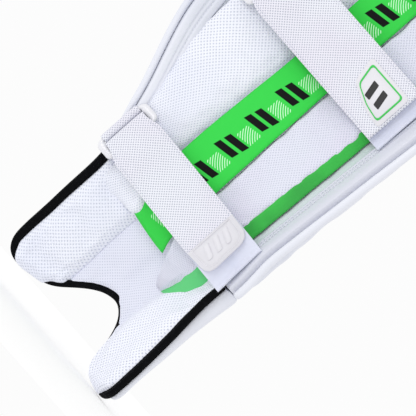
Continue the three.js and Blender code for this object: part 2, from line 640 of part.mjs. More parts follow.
// Straps, each sewn at the outer side, threaded through its loop and doubled back
for (const strap of STRAPS) {
  const half = strap.width / 2;
  const layerGap = 2 * (BAR_RADIUS + BAR_PLAY) + WEB;
  const middleZ = (x) => strap.z + strap.slope * x;
  const halfAt = (x) => half - STRAP_WAIST * ramp(1 - (strap.foldX - x) / WAIST_LENGTH);
  const barY = strap.foldY;
  const underY = (x) => {
    const t = (strap.foldX - x) / (strap.foldX - strap.sewnX);
    return lerp(barY - layerGap / 2, strap.sewnY, t);
  };
  const overY = (x) => {
    const settle = ramp((strap.foldX - x - EASE_START) / EASE_LENGTH);
    return underY(x) + lerp(layerGap, WEB + FOLD_CLEARANCE, settle);
  };
  // Webbing along a path of x and y, between two heights given at each x
  const addWebbing = (name, path, middle, halfHeight) => {
    const sideOf = (sign) => path.map(([x, y], i) => {
      const [outX, outY] = outwardAt(path, i).map((share) => share * sign * (WEB / 2));
      return [-1, 1].map((edge) => (
        new THREE.Vector3(x + outX, y + outY, middle(x) + edge * halfHeight(x))
      ));
    });
    addSlab(name, sideOf(1), sideOf(-1), WEBBING);
  };
  const underPath = [];
  for (let i = 0; i <= UNDER_STEPS; i += 1) {
    const x = lerp(strap.sewnX, strap.foldX, i / UNDER_STEPS);
    underPath.push([x, underY(x)]);
  }
  for (let i = 1; i <= FOLD_STEPS; i += 1) {
    const angle = lerp(-Math.PI / 2, FOLD_END_ANGLE, i / FOLD_STEPS);
    underPath.push([
      strap.foldX + (layerGap / 2) * Math.cos(angle), barY + (layerGap / 2) * Math.sin(angle),
    ]);
  }
  addWebbing(`${strap.name}_strap_under`, underPath, middleZ, halfAt);
  const overPath = [];
  for (let i = 0; i <= OVER_STEPS; i += 1) {
    const x = lerp(strap.endX, strap.foldX - FOLD_CLEARANCE, i / OVER_STEPS);
    overPath.push([x, overY(x)]);
  }
  addWebbing(`${strap.name}_strap_over`, overPath, middleZ, halfAt);
  if (strap.name === 'ankle') {
    const face = [];
    const back = [];
    for (let i = 0; i <= PATCH_STEPS; i += 1) {
      const t = i / PATCH_STEPS;
      const x = strap.endX - GAP - PATCH_LENGTH * t;
      const halfHeight = half * (1 - PATCH_ROUNDING * t ** 4) - 1;
      const heights = [-1, -0.5, 0.5, 1].map((share) => middleZ(x) + share * halfHeight);
      face.push(heights.map((z) => new THREE.Vector3(x, overY(x) + PATCH_FACE, z)));
      back.push(heights.map((z) => new THREE.Vector3(x, overY(x) + PATCH_BACK, z)));
    }
    addSlab(`${strap.name}_strap_end_patch`, face, back, RUBBER);
  } else {
    const corner = ([inset, share], rise) => {
      const x = strap.endX + inset;
      return new THREE.Vector3(x, overY(x) + WEB / 2 + LABEL_GAP + rise, middleZ(x) + share * half);
    };
    addSweep(`${strap.name}_strap_label`, [
      LABEL_CORNERS.map((spot) => corner(spot, 0)),
      LABEL_CORNERS.map((spot) => corner(spot, LABEL_THICKNESS)),
    ], LABEL_CORNERS, RUBBER);
  }
  // Plastic loop, a closed ring round the strap
  const barX = strap.foldX + LOOP_TO_FOLD;
  const innerX = barX - BAR_SPACING;
  const loopHalf = half - STRAP_WAIST + LOOP_SIDE_PLAY + BAR_RADIUS;
  const lean = (strap.sewnY - underY(strap.foldX)) / (strap.foldX - strap.sewnX);
  const loopY = (x) => barY + (strap.foldX - x) * lean;
  const corners = [
    [barX - LOOP_BEND, loopHalf - LOOP_BEND, 0], [innerX + LOOP_BEND, loopHalf - LOOP_BEND, 90],
    [innerX + LOOP_BEND, LOOP_BEND - loopHalf, 180], [barX - LOOP_BEND, LOOP_BEND - loopHalf, 270],
  ];
  const rings = [];
  for (const [cx, cz, start] of corners) {
    for (const step of [0, 45, 90]) {
      const angle = ((start + step) * Math.PI) / 180;
      rings.push(circle(BAR_RADIUS, BAR_SIDES).map(([out, rise]) => {
        const x = cx + (LOOP_BEND + out) * Math.cos(angle);
        return new THREE.Vector3(
          x, loopY(x) + rise, middleZ(barX) + cz + (LOOP_BEND + out) * Math.sin(angle),
        );
      }));
    }
  }
  addSweep(`${strap.name}_loop`, rings, null, PLASTIC);
  // Webbing rolled over the loop's outer bar
  const rollRadius = BAR_RADIUS + GAP + WEB / 2;
  const tabY = loopY(barX);
  const tabPath = [[barX + rollRadius, tabY - TAB_OUTER_TAIL]];
  for (const degrees of [0, 45, 90, 135, 180]) {
    const angle = (degrees * Math.PI) / 180;
    tabPath.push([barX + rollRadius * Math.cos(angle), tabY + rollRadius * Math.sin(angle)]);
  }
  tabPath.push([barX - rollRadius, tabY - TAB_INNER_TAIL]);
  addWebbing(`${strap.name}_loop_webbing`, tabPath, level(middleZ(barX)), level(half - STRAP_WAIST - 1));
}

export default group;
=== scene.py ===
"""Cricket leg pad: soft pieces, cloths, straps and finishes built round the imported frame."""

import json
import math

import bpy
import numpy as np
from mathutils import Matrix, Vector


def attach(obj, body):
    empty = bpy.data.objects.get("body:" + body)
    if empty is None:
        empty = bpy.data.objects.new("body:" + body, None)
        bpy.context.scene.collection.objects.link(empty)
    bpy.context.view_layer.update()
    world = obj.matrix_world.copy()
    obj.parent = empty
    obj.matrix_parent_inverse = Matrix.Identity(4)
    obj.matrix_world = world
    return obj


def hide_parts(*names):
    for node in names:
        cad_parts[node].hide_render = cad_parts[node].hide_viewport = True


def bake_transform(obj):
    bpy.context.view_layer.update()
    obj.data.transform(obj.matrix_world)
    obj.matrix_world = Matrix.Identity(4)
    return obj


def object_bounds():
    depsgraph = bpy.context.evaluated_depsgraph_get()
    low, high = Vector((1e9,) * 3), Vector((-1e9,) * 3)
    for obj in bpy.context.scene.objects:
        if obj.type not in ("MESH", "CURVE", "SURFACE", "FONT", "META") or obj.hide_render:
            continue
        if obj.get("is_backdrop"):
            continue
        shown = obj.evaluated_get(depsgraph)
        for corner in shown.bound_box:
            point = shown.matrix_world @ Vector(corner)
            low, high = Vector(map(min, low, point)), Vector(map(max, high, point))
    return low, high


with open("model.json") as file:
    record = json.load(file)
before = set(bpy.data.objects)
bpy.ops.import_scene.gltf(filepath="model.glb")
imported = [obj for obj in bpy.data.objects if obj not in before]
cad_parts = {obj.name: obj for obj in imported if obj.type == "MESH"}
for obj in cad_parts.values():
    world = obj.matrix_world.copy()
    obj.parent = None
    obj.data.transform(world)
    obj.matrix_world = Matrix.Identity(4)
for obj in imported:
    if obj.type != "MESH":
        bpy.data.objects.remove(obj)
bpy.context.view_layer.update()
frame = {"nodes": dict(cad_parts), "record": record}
scene = bpy.context.scene
MM = 0.001
SLOT = {row["node"]: row["material_slot"] for row in frame["record"]["subparts"]}


# ---------------------------------------------------------------- the pad's curved middle surface

def curve(knots):
    """A smooth curve through the knots, flat beyond both ends."""
    xs, ys = np.array(knots, float).T
    secants = np.diff(ys) / np.diff(xs)
    before, after = secants[:-1], secants[1:]
    same = before * after > 0
    inner = np.where(same, 2 * before * after / np.where(same, before + after, 1), 0)
    slopes = np.concatenate([secants[:1], inner, secants[-1:]])

    def value(t):
        t = np.clip(np.asarray(t, float), xs[0], xs[-1])
        i = np.clip(np.searchsorted(xs, t, side="right") - 1, 0, len(xs) - 2)
        span = xs[i + 1] - xs[i]
        u = (t - xs[i]) / span
        start = (1 + 2 * u) * (1 - u) ** 2 * ys[i] + u * (1 - u) ** 2 * span * slopes[i]
        end = u * u * (3 - 2 * u) * ys[i + 1] - u * u * (1 - u) * span * slopes[i + 1]
        return start + end

    return value


PAD_TOP, INSTEP_FOLD, BARS_LOW, FLAP_FOLD, FOLD_GAP = 730, 174, 462, 608, 0.6
INNER_EDGE = curve([
    (0, 112), (30, 116), (100, 105), (177, 93), (240, 108), (350, 146),
    (440, 156), (530, 155), (610, 146), (680, 126), (730, 96)])
OUTER_EDGE = curve([
    (0, -100), (30, -101), (73, -104.5), (110, -107.5), (145, -113.5), (177, -121), (240, -128), (350, -139),
    (440, -146), (530, -148), (610, -141), (680, -121), (730, -90)])
FORWARD = curve([(0, -85), (79, -50), (150, -18), (190, -4), (230, 0), (600, 0), (730, -14)])
INNER_RISE = curve([(0, 20), (177, 26), (300, 38), (430, 50), (590, 48), (730, 22)])
OUTER_RISE = curve([(0, 60), (80, 52), (177, 44), (300, 54), (430, 60), (590, 54), (730, 24)])
HEM = curve([
    (-1, 26), (-0.975, 10), (-0.92, 2), (-0.76, 0), (-0.63, 3), (-0.545, 11), (-0.48, 27),
    (-0.435, 45), (-0.39, 59), (-0.31, 71), (-0.17, 79), (-0.02, 76), (0.13, 67), (0.27, 54),
    (0.42, 39), (0.54, 32), (0.7, 28), (0.86, 25), (0.95, 27), (1, 38)])


def lerp(a, b, t):
    return a + (b - a) * t


def ramp(t):
    u = np.clip(t, 0, 1)
    return u * u * (3 - 2 * u)


def across(fraction, z, margin=0):
    middle = (INNER_EDGE(z) + OUTER_EDGE(z)) / 2
    return middle + fraction * ((INNER_EDGE(z) - OUTER_EDGE(z)) / 2 - margin)


def edge_inset(z):
    """How far the shoe part's outer bound edge stands in from the outline."""
    return 7.2 * ramp((z - 95) / 80) - 1.2 * ramp((z - 15) / 35)


def wing_flare(z):
    """How far the outer wing's foot stands out beyond the outline."""
    return 5.5 * ramp((235 - z) / 55)


def inset_at(fraction, z):
    return edge_inset(z) * np.maximum(0, -fraction) ** 4


def wing_shift(fraction, z):
    """The outer wing's share of its flare at a side fraction; nothing over the rest of the pad."""
    return -wing_flare(z) * np.clip((-0.815 - fraction) / 0.185, 0, 1)


def no_shift(fraction, z):
    return 0 * fraction


def fraction_at(x, z):
    middle = (INNER_EDGE(z) + OUTER_EDGE(z)) / 2
    return (x - middle) / ((INNER_EDGE(z) - OUTER_EDGE(z)) / 2)


def lining_y(x, z):
    fraction = fraction_at(x, z)
    rise = np.where(fraction > 0, INNER_RISE(z), OUTER_RISE(z))
    return FORWARD(z) + rise * np.abs(fraction) ** 2.4


def place(x, z, depth):
    """Points at x and z on the middle surface, moved off it along its normal, in millimetres."""
    x, z, depth = np.broadcast_arrays(*(np.asarray(v, float) for v in (x, z, depth)))
    slope_x = (lining_y(x + 1, z) - lining_y(x - 1, z)) / 2
    slope_z = (lining_y(x, z + 1) - lining_y(x, z - 1)) / 2
    normal = np.stack([-slope_x, np.ones_like(x), -slope_z], -1)
    normal /= np.linalg.norm(normal, axis=-1, keepdims=True)
    return np.stack([x, lining_y(x, z), z], -1) + normal * depth[..., None]


def shifted(points, distance):
    """Points moved sideways."""
    moved = points.copy()
    moved[..., 0] += distance
    return moved


HEIGHTS = np.arange(-40.0, 771.0)
HEIGHT_ARC = np.cumsum(np.hypot(1, np.gradient(FORWARD(HEIGHTS))))


def weave_at(x, z):
    """Distances over the middle surface: across from the centre line, and up."""
    samples = x[..., None] * np.linspace(0, 1, 13)
    high = z[..., None]
    slope = (lining_y(samples + 1, high) - lining_y(samples - 1, high)) / 2
    u = x * np.sqrt(1 + slope ** 2).mean(-1)
    return np.stack([u, np.interp(z, HEIGHTS, HEIGHT_ARC)], -1).reshape(-1, 2)


# ---------------------------------------------------------------- meshes

def make(name, points, faces, corners=None, smooth=True):
    """A mesh object from points in millimetres, with its weave map in millimetres."""
    points = np.asarray(points, float) * MM
    mesh = bpy.data.meshes.new(name)
    mesh.from_pydata(points.tolist(), [], faces)
    if corners is not None:
        layer = mesh.uv_layers.new(name="weave")
        layer.data.foreach_set("uv", np.asarray(corners, float).ravel())
    mesh.polygons.foreach_set("use_smooth", [smooth] * len(mesh.polygons))
    mesh.update()
    piece = bpy.data.objects.new(name, mesh)
    scene.collection.objects.link(piece)
    return piece


def facing_out(points, faces):
    """True if the closed mesh's faces turn outwards."""
    volume = 0.0
    for face in faces:
        a = points[face[0]]
        for k in range(1, len(face) - 1):
            volume += np.dot(a, np.cross(points[face[k]], points[face[k + 1]]))
    return volume > 0


def finish_mesh(name, points, faces, corners):
    if not facing_out(points, faces):
        faces = [f[::-1] for f in faces]
        corners = [c[::-1] for c in corners]
    return make(name, points, faces, [uv for c in corners for uv in c])


def slab(name, face, back, weave=None):
    """A closed body between two matching grids of points."""
    rows, cols = face.shape[:2]
    count = rows * cols
    points = np.concatenate([face.reshape(-1, 3), back.reshape(-1, 3)])
    along_u = np.linalg.norm(np.diff(face, axis=1), axis=-1)
    u = np.concatenate([np.zeros((rows, 1)), np.cumsum(along_u, 1)], 1)
    u -= u[:, cols // 2][:, None]
    along_v = np.linalg.norm(np.diff(face, axis=0), axis=-1)
    v = np.concatenate([np.zeros((1, cols)), np.cumsum(along_v, 0)], 0)
    uv = np.stack([u, v], -1).reshape(-1, 2) if weave is None else weave
    faces = []
    for i in range(rows - 1):
        for j in range(cols - 1):
            a = i * cols + j
            faces.append([a, a + 1, a + cols + 1, a + cols])
            b = a + count
            faces.append([b, b + cols, b + cols + 1, b + 1])
    rim = list(range(cols - 1))
    rim += [i * cols + cols - 1 for i in range(rows - 1)]
    rim += [(rows - 1) * cols + j for j in range(cols - 1, 0, -1)]
    rim += [i * cols for i in range(rows - 1, 0, -1)]
    for k, a in enumerate(rim):
        b = rim[(k + 1) % len(rim)]
        faces.append([a, a + count, b + count, b])
    corners = [[uv[p % count] for p in f] for f in faces]
    return finish_mesh(name, points, faces, corners)


def layer(name, x, z, face, back, face_shift=0.0, back_shift=0.0, weave=None):
    """A slab between two depths off the middle surface, each moved sideways by its own shift."""
    return slab(name, shifted(place(x, z, face), face_shift), shifted(place(x, z, back), back_shift), weave)


def run_along(points):
    """Distance along a line of points, from its start."""
    return np.concatenate([[0], np.cumsum(np.linalg.norm(np.diff(points, axis=0), axis=1))])


def headings(points):
    """Unit directions along a line of points."""
    ahead = np.gradient(points, axis=0)
    return ahead / np.linalg.norm(ahead, axis=1, keepdims=True)


def tube(name, rings, joined=False):
    """A closed body swept through rings of points, its ends closed or joined."""
    rings = np.asarray(rings, float)
    count, size = rings.shape[:2]
    points = rings.reshape(-1, 3)
    round_it = np.linalg.norm(np.roll(rings, -1, 1) - rings, axis=-1).max(0)
    u = np.concatenate([[0], np.cumsum(round_it)])
    step = np.linalg.norm(np.diff(rings, axis=0), axis=-1).mean(1)
    v = np.concatenate([[0], np.cumsum(step)])
    faces, corners = [], []
    for i in range(count if joined else count - 1):
        n = (i + 1) % count
        v1 = v[i + 1] if i + 1 < count else v[-1] + step.mean()
        for j in range(size):
            k = (j + 1) % size
            faces.append([i * size + j, i * size + k, n * size + k, n * size + j])
            corners.append([(u[j], v[i]), (u[j + 1], v[i]), (u[j + 1], v1), (u[j], v1)])
    if not joined:
        for i, turn in ((0, -1), (count - 1, 1)):
            middle = len(points)
            points = np.concatenate([points, rings[i].mean(0)[None]])
            for j in range(size):
                k = (j + 1) % size
                face = [i * size + j, i * size + k, middle][::turn]
                faces.append(face)
                corners.append([(u[j], v[i]), (u[j + 1], v[i]), (u[j], v[i])][::turn])
    return finish_mesh(name, points, faces, corners)


def smoother(piece, levels=1):
    modifier = piece.modifiers.new("smooth", "SUBSURF")
    modifier.levels = modifier.render_levels = levels
    return piece


def soften(piece, free, pressure=4.0, cap=6.0, grow=0.03, frames=20):
    """Blows the piece up as cloth: free is 0 where a point is sewn down and 1 where it may move."""
    mesh = piece.data
    rest = np.zeros(len(mesh.vertices) * 3)
    mesh.vertices.foreach_get("co", rest)
    rest = rest.reshape(-1, 3)
    free = np.asarray(free, float).ravel()
    group = piece.vertex_groups.new(name="sewn")
    for level in np.unique(np.round(1 - free, 2)):
        chosen = np.nonzero(np.abs(np.round(1 - free, 2) - level) < 0.004)[0]
        group.add([int(i) for i in chosen], float(level), "REPLACE")
    modifier = piece.modifiers.new("cloth", "CLOTH")
    cloth = modifier.settings
    cloth.quality = 4
    cloth.mass = 0.2
    cloth.tension_stiffness = 25
    cloth.compression_stiffness = 12
    cloth.shear_stiffness = 8
    cloth.bending_stiffness = 0.6
    cloth.air_damping = 4
    cloth.use_pressure = True
    cloth.uniform_pressure_force = pressure
    cloth.shrink_min = -grow
    cloth.vertex_group_mass = "sewn"
    cloth.pin_stiffness = 1
    cloth.effector_weights.gravity = 0
    modifier.collision_settings.use_collision = False
    for number in range(1, frames + 1):
        scene.frame_set(number)
    shown = piece.evaluated_get(bpy.context.evaluated_depsgraph_get())
    moved = np.zeros(len(rest) * 3)
    shown.data.vertices.foreach_get("co", moved)
    shift = moved.reshape(-1, 3) - rest
    length = np.linalg.norm(shift, axis=1, keepdims=True)
    limit = cap * MM * free[:, None]
    shift *= np.minimum(1, limit * np.tanh(length / np.maximum(limit, 1e-9)) / np.maximum(length, 1e-9))
    piece.modifiers.remove(modifier)
    mesh.vertices.foreach_set("co", (rest + shift).ravel())
    mesh.update()
    scene.frame_set(1)
    return piece


def dress(piece, material, body, node=None, fill=None):
    """Gives the piece its finish and its body, and hides the CAD node that it stands for."""
    piece.data.materials.append(material)
    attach(piece, body)
    if node:
        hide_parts(node)
    return piece


def stuffed(built, pressure, cap, grow, *finish):
    """Softens and smooths a piece built with its freedom to move, then dresses it."""
    return dress(smoother(soften(*built, pressure, cap, grow)), *finish)


# ---------------------------------------------------------------- finishes

class Value:
    """A number in a shader tree, so that patterns read as plain sums."""

    def __init__(self, tree, socket):
        self.tree, self.socket = tree, socket

    def math(self, operation, *others):
        node = self.tree.nodes.new("ShaderNodeMath")
        node.operation = operation
        for i, value in enumerate((self, *others)):
            if isinstance(value, Value):
                self.tree.links.new(value.socket, node.inputs[i])
            else:
                node.inputs[i].default_value = value
        return Value(self.tree, node.outputs[0])

    def __add__(self, other):
        return self.math("ADD", other)

    def __sub__(self, other):
        return self.math("SUBTRACT", other)

    def __mul__(self, other):
        return self.math("MULTIPLY", other)

    def __truediv__(self, other):
        return self.math("DIVIDE", other)

    def step(self, low, high):
        """0 below low, 1 above high and smooth between."""
        node = self.tree.nodes.new("ShaderNodeMapRange")
        node.interpolation_type = "SMOOTHSTEP"
        node.inputs[1].default_value, node.inputs[2].default_value = low, high
        self.tree.links.new(self.socket, node.inputs[0])
        return Value(self.tree, node.outputs[0])

    def between(self, low, high, soft):
        """1 from low to high, 0 outside."""
        return self.step(low - soft, low + soft) * (self.step(high - soft, high + soft) * -1 + 1)


class Finish:
    """A material under construction: its shader, colour and bump."""

    def __init__(self, name, colour, roughness, sheen=0.0, coat=0.0, specular=0.5):
        self.material = bpy.data.materials.new(name)
        self.material.use_nodes = True
        self.tree = self.material.node_tree
        self.shader = self.tree.nodes["Principled BSDF"]
        self.shader.inputs["Roughness"].default_value = roughness
        self.shader.inputs["Sheen Weight"].default_value = sheen
        self.shader.inputs["Coat Weight"].default_value = coat
        self.shader.inputs["Specular IOR Level"].default_value = specular
        self.colour = self.tree.nodes.new("ShaderNodeRGB").outputs[0]
        self.colour.default_value = (*colour, 1)
        self.height = None

    def weave(self):
        """The distance across and along the piece, in millimetres."""
        place_node = self.tree.nodes.new("ShaderNodeUVMap")
        place_node.uv_map = "weave"
        split = self.tree.nodes.new("ShaderNodeSeparateXYZ")
        self.tree.links.new(place_node.outputs[0], split.inputs[0])
        return Value(self.tree, split.outputs[0]), Value(self.tree, split.outputs[1])

    def texture(self, kind, **settings):
        where = self.tree.nodes.new("ShaderNodeTexCoord")
        node = self.tree.nodes.new(kind)
        for setting, value in settings.items():
            node.inputs[setting].default_value = value
        self.tree.links.new(where.outputs["Object"], node.inputs["Vector"])
        return Value(self.tree, node.outputs[0])

    def noise(self, scale, detail=2.0):
        return self.texture("ShaderNodeTexNoise", Scale=scale, Detail=detail)

    def cells(self, scale):
        return self.texture("ShaderNodeTexVoronoi", Scale=scale)

    def paint(self, mask, colour):
        """Lays a colour over where the mask is 1."""
        node = self.tree.nodes.new("ShaderNodeMix")
        node.data_type = "RGBA"
        self.tree.links.new(mask.socket, node.inputs["Factor"])
        self.tree.links.new(self.colour, node.inputs[6])
        node.inputs[7].default_value = (*colour, 1)
        self.colour = node.outputs[2]
        return self

    def raise_by(self, value):
        self.height = value if self.height is None else self.height + value
        return self

    def done(self, depth=0.0004, strength=0.8):
        self.tree.links.new(self.colour, self.shader.inputs["Base Color"])
        if self.height is not None:
            bump = self.tree.nodes.new("ShaderNodeBump")
            bump.inputs["Distance"].default_value = depth
            bump.inputs["Strength"].default_value = strength
            self.tree.links.new(self.height.socket, bump.inputs["Height"])
            self.tree.links.new(bump.outputs[0], self.shader.inputs["Normal"])
        return self.material


def srgb(r, g, b):
    return tuple((c / 255 / 12.92) if c <= 10 else ((c / 255 + 0.055) / 1.055) ** 2.4 for c in (r, g, b))


def dots(finish, pitch):
    """A centred lattice of holes, 1 in the middle of each."""
    u, v = finish.weave()
    turn = 2 * math.pi / (pitch * math.sqrt(2))
    return (u * turn).math("COSINE") * (v * turn).math("COSINE")


def air_mesh(name, pitch, colour, hole, tint, size=0.3, depth=0.0005):
    finish = Finish(name, colour, 0.85, sheen=0.25)
    wave = dots(finish, pitch)
    finish.paint(finish.noise(9).step(0.35, 0.75), tint)
    finish.paint(wave.step(size, size + 0.5), hole)
    finish.raise_by(wave.step(size - 0.2, size + 0.6) * -1)
    finish.raise_by(finish.noise(700, 1) * 0.15)
    return finish.done(depth)


def make_lobe_mesh():
    """Fine mesh beside the arch that gives way to brighter, more open mesh over the outer lobe."""
    finish = Finish("lobe_air_mesh", srgb(225, 227, 240), 0.85, sheen=0.25)
    u, v = finish.weave()
    lobe = (u + 41 + (v - 113) * 0.33).step(-10, 4) * -1 + 1
    finish.paint(lobe, srgb(240, 242, 252))
    finish.paint(dots(finish, 3.0).step(0.25, 0.75) * (lobe * -1 + 1), srgb(197, 200, 217))
    open_holes = dots(finish, 3.8).step(0.3, 0.8)
    finish.paint(open_holes * lobe, srgb(204, 208, 225))
    finish.raise_by(open_holes * lobe * -1)
    finish.raise_by(finish.noise(700, 1) * 0.15)
    return finish.done(0.0005)


def leather(name, colour, tint, roughness=0.42):
    finish = Finish(name, colour, roughness, coat=0.15)
    finish.paint(finish.noise(7).step(0.4, 0.75), tint)
    finish.raise_by(finish.cells(900) * 0.6)
    finish.raise_by(finish.noise(60, 4) * 0.7)
    return finish.done(0.0002, 0.6)


LINING_MESH = air_mesh("lining_air_mesh", 3.5, srgb(240, 242, 250), srgb(203, 208, 224), srgb(232, 235, 248))
# Finer mesh than the lining. Its darker ground colour is partly its own tone and partly painted shade, for
# the light falling off towards the pad's outer side.
FINE_MESH = air_mesh("fine_air_mesh", 3.0, srgb(223, 225, 238), srgb(196, 199, 216), srgb(222, 218, 235),
                     0.25, 0.0003)
LOBE_MESH = make_lobe_mesh()
STRAP_MESH = air_mesh("strap_loop_mesh", 2.7, srgb(232, 234, 242), srgb(180, 183, 198), srgb(228, 222, 236),
                      0.15, 0.0004)
PU = leather("white_leathercloth", srgb(226, 228, 237), srgb(217, 220, 231))
# The outer wing's leathercloth: the white leathercloth painted darker as shade, for the light falling off
# towards the pad's outer side.
SHADED_WING_PU = leather("shaded_wing_leathercloth", srgb(211, 213, 224), srgb(204, 207, 219))
MINT_PU = leather("mint_white_leathercloth", srgb(213, 221, 227), srgb(220, 225, 233), 0.38)


def make_tape():
    finish = Finish("black_binding_tape", srgb(5, 6, 9), 0.8, specular=0.08)
    u, v = finish.weave()
    rib = (v * (2 * math.pi / 1.3)).math("SINE") * (u * (2 * math.pi / 1.1)).math("SINE")
    finish.paint(finish.noise(140, 3).step(0.5, 0.8), srgb(12, 13, 17))
    finish.raise_by(rib * 0.5)
    finish.raise_by(finish.noise(300, 3))
    return finish.done(0.0003, 0.7)


def make_satin():
    """Green satin with white hatching and plain black slanted bars in turn down its middle."""
    finish = Finish("green_satin", srgb(58, 214, 78), 0.42, specular=0.12)
    finish.paint(finish.noise(5).step(0.4, 0.7), srgb(48, 203, 68))
    u, v = finish.weave()
    turn = (v + u * 0.35 + 9) / 42
    share = turn.math("FRACT")
    hatch_area = share.between(0.6, 0.97, 0.01) * u.between(-19, 1, 0.3)
    far = ((u + 60) * (u + 60) + (share * 42 - 80) * (share * 42 - 80)).math("SQRT") / 2.4
    lines = far.math("FRACT").between(0.3, 0.62, 0.08)
    finish.paint(hatch_area * lines, srgb(214, 255, 220))
    bars = share.between(0.07, 0.26, 0.006) + share.between(0.35, 0.54, 0.006)
    finish.paint(bars * v.step(58, 59) * (u + share * 9).between(-15, 11, 0.25), srgb(4, 4, 6))
    finish.raise_by((v * (2 * math.pi / 0.8)).math("SINE") * 0.3)
    finish.raise_by(finish.noise(45, 3))
    return finish.done(0.0005, 0.45)


def make_plain(name, colour, tint, roughness, scale, bump, sheen=0.0, coat=0.0, patches=14, high=0.75,
               strength=0.6):
    finish = Finish(name, colour, roughness, sheen=sheen, coat=coat)
    finish.paint(finish.noise(patches, 3).step(0.4, high), tint)
    finish.raise_by(finish.noise(scale, 3))
    return finish.done(bump, strength)


STRAP_BACK = make_plain("strap_soft_loop", srgb(219, 222, 238), srgb(211, 215, 233), 0.8, 900, 0.0003,
                        sheen=0.2, patches=30, high=0.7, strength=0.5)
TAPE = make_tape()
SATIN = make_satin()


def make_gusset():
    """Green cloth, lighter on the tongue at its lower end."""
    finish = Finish("green_cloth", srgb(50, 186, 68), 0.75, sheen=0.2)
    finish.paint(finish.noise(14, 3).step(0.4, 0.75), srgb(42, 156, 60))
    where = finish.tree.nodes.new("ShaderNodeTexCoord")
    split = finish.tree.nodes.new("ShaderNodeSeparateXYZ")
    finish.tree.links.new(where.outputs["Object"], split.inputs[0])
    low_part = Value(finish.tree, split.outputs[2]).step(0.176, 0.19) * -1 + 1
    finish.paint(low_part, srgb(92, 206, 122))
    finish.raise_by(finish.noise(500, 3))
    return finish.done(0.0005, 0.6)


GREEN_CLOTH = make_gusset()
PLASTIC = make_plain("white_nylon", srgb(228, 228, 233), srgb(222, 222, 229), 0.3, 220, 0.0001, coat=0.3)
RUBBER = make_plain("moulded_rubber", srgb(222, 221, 227), srgb(216, 215, 221), 0.5, 700, 0.0001)
THREAD = make_plain("white_thread", srgb(222, 226, 236), srgb(210, 214, 226), 0.7, 3000, 0.0001)
PRINT_GREEN = make_plain("label_green", srgb(58, 200, 84), srgb(50, 190, 76), 0.5, 900, 0.0001)
PRINT_BLACK = make_plain("label_black", srgb(14, 14, 18), srgb(22, 22, 27), 0.5, 900, 0.0001)
FOAM = make_plain("cut_foam", srgb(233, 228, 210), srgb(222, 216, 196), 0.95, 700, 0.0008)
CANE = make_plain("split_cane", srgb(205, 170, 112), srgb(186, 148, 92), 0.6, 300, 0.0003)

for node_name, node in frame["nodes"].items():
    kept = {"foam": FOAM, "cane": CANE}.get(SLOT[node_name], PU)
    node.data.materials.clear()
    node.data.materials.append(kept)


# ---------------------------------------------------------------- panels and rolls

def steps(count, even=0.5):
    """Shares from 0 to 1, closer together towards both ends."""
    t = np.linspace(0, 1, count + 1)
    return even * t + (1 - even) * (1 - np.cos(np.pi * t)) / 2


def dome(distance, width):
    """Height of a rounded edge at a distance in from it, as a share of the full height."""
    u = np.clip(distance / width, 0, 1)
    return np.sqrt(np.clip(1 - (1 - u) ** 2, 0, 1))


def level(value):
    return lambda *unused: value


def of(value):
    """The value if it is a function, and otherwise a function that always gives it."""
    return value if callable(value) else level(value)


def panel(name, left, right, low, high, face, back, cols, rows, margin=0.0, face_shift=no_shift,
          back_shift=no_shift):
    """A body on the middle surface. low and high follow the side fraction, face and back the spot."""
    low, high, face, back = (of(value) for value in (low, high, face, back))
    s, t = np.meshgrid(steps(cols), steps(rows))
    f = lerp(left, right, s)
    z = lerp(low(f), high(f), t)
    x = across(f, z, margin)
    width = (right - left) * ((INNER_EDGE(z) - OUTER_EDGE(z)) / 2 - margin)
    to_side = np.minimum(s, 1 - s) * width
    to_end = np.minimum(t, 1 - t) * (high(f) - low(f))
    spot = {"s": s, "t": t, "f": f, "z": z, "x": x, "side": to_side, "end": to_end}
    piece = layer(name, x, z, face(spot), back(spot), face_shift(f, z), back_shift(f, z), weave_at(x, z))
    edge = np.minimum(to_side, to_end).ravel()
    free = np.concatenate([ramp((edge - 2) / 8), np.zeros(len(edge))])
    return piece, free


def section(count, flat, power=0.75):
    """Points round a roll: share of the half width, and share of the height from base to crest."""
    turn = np.linspace(0, np.pi, count)
    side = np.sign(np.cos(turn)) * np.abs(np.cos(turn)) ** power
    rise = np.sin(turn) ** power
    under = np.linspace(-1, 1, flat + 2)[1:-1]
    return np.concatenate([side, under]), np.concatenate([rise, np.zeros(flat)])


def end_size(t, length, taper, reach):
    """How full a roll is at a share of its length, drawn in over its last reach millimetres."""
    inside = np.minimum(t, 1 - t) * length
    return lerp(taper, 1, dome(inside, reach))


def upright(name, z0, z1, centre, half, base, crest, taper=0.3, reach=22, count=20, pitch=7.0, power=0.75,
            waves=0.0, slant=0.0):
    """A stuffed roll running up the pad. slant drops its lower end towards the inner side."""
    half, base = of(half), of(base)
    a, rise = section(count, 6, power)
    rows = max(8, int((z1 - z0) / pitch))
    t = steps(rows, 0.7)
    z = lerp(z0 - slant * a[None], z1, t[:, None])
    size = end_size(t, z1 - z0, taper, reach)[:, None]
    wave = waves * np.sin(z / 9.0 + 2 * np.sin(z / 31.0)) * (1 - np.abs(a)[None]) * rise[None]
    depth = base(z) + (crest(z, a) - base(z)) * rise[None] * size + wave
    x = centre(z) + a[None] * half(z) * lerp(1, size, 0.55)
    piece = tube(name, place(x, np.broadcast_to(z, x.shape), depth))
    free = ramp((rise[None] - 0.15) / 0.5) * ramp((size - taper - 0.12) / 0.3)
    return piece, np.concatenate([np.broadcast_to(free, x.shape).ravel(), [0, 0]])


fold_low, fold_high = INSTEP_FOLD - FOLD_GAP, INSTEP_FOLD + FOLD_GAP
flap_low, flap_high = FLAP_FOLD - FOLD_GAP, FLAP_FOLD + FOLD_GAP


def window(f, low, high, soft):
    return ramp((f - low) / soft + 0.5) * ramp((high - f) / soft + 0.5)


# Lower part over the shoe
LOBE_SEAM, SEAM_HALF, LINING_BACK = 0.35, 0.004, -2.6
TAPE_SHOWS, ARCH_SHOWS, OVERHANG = 5.5, 3.0, -3.0


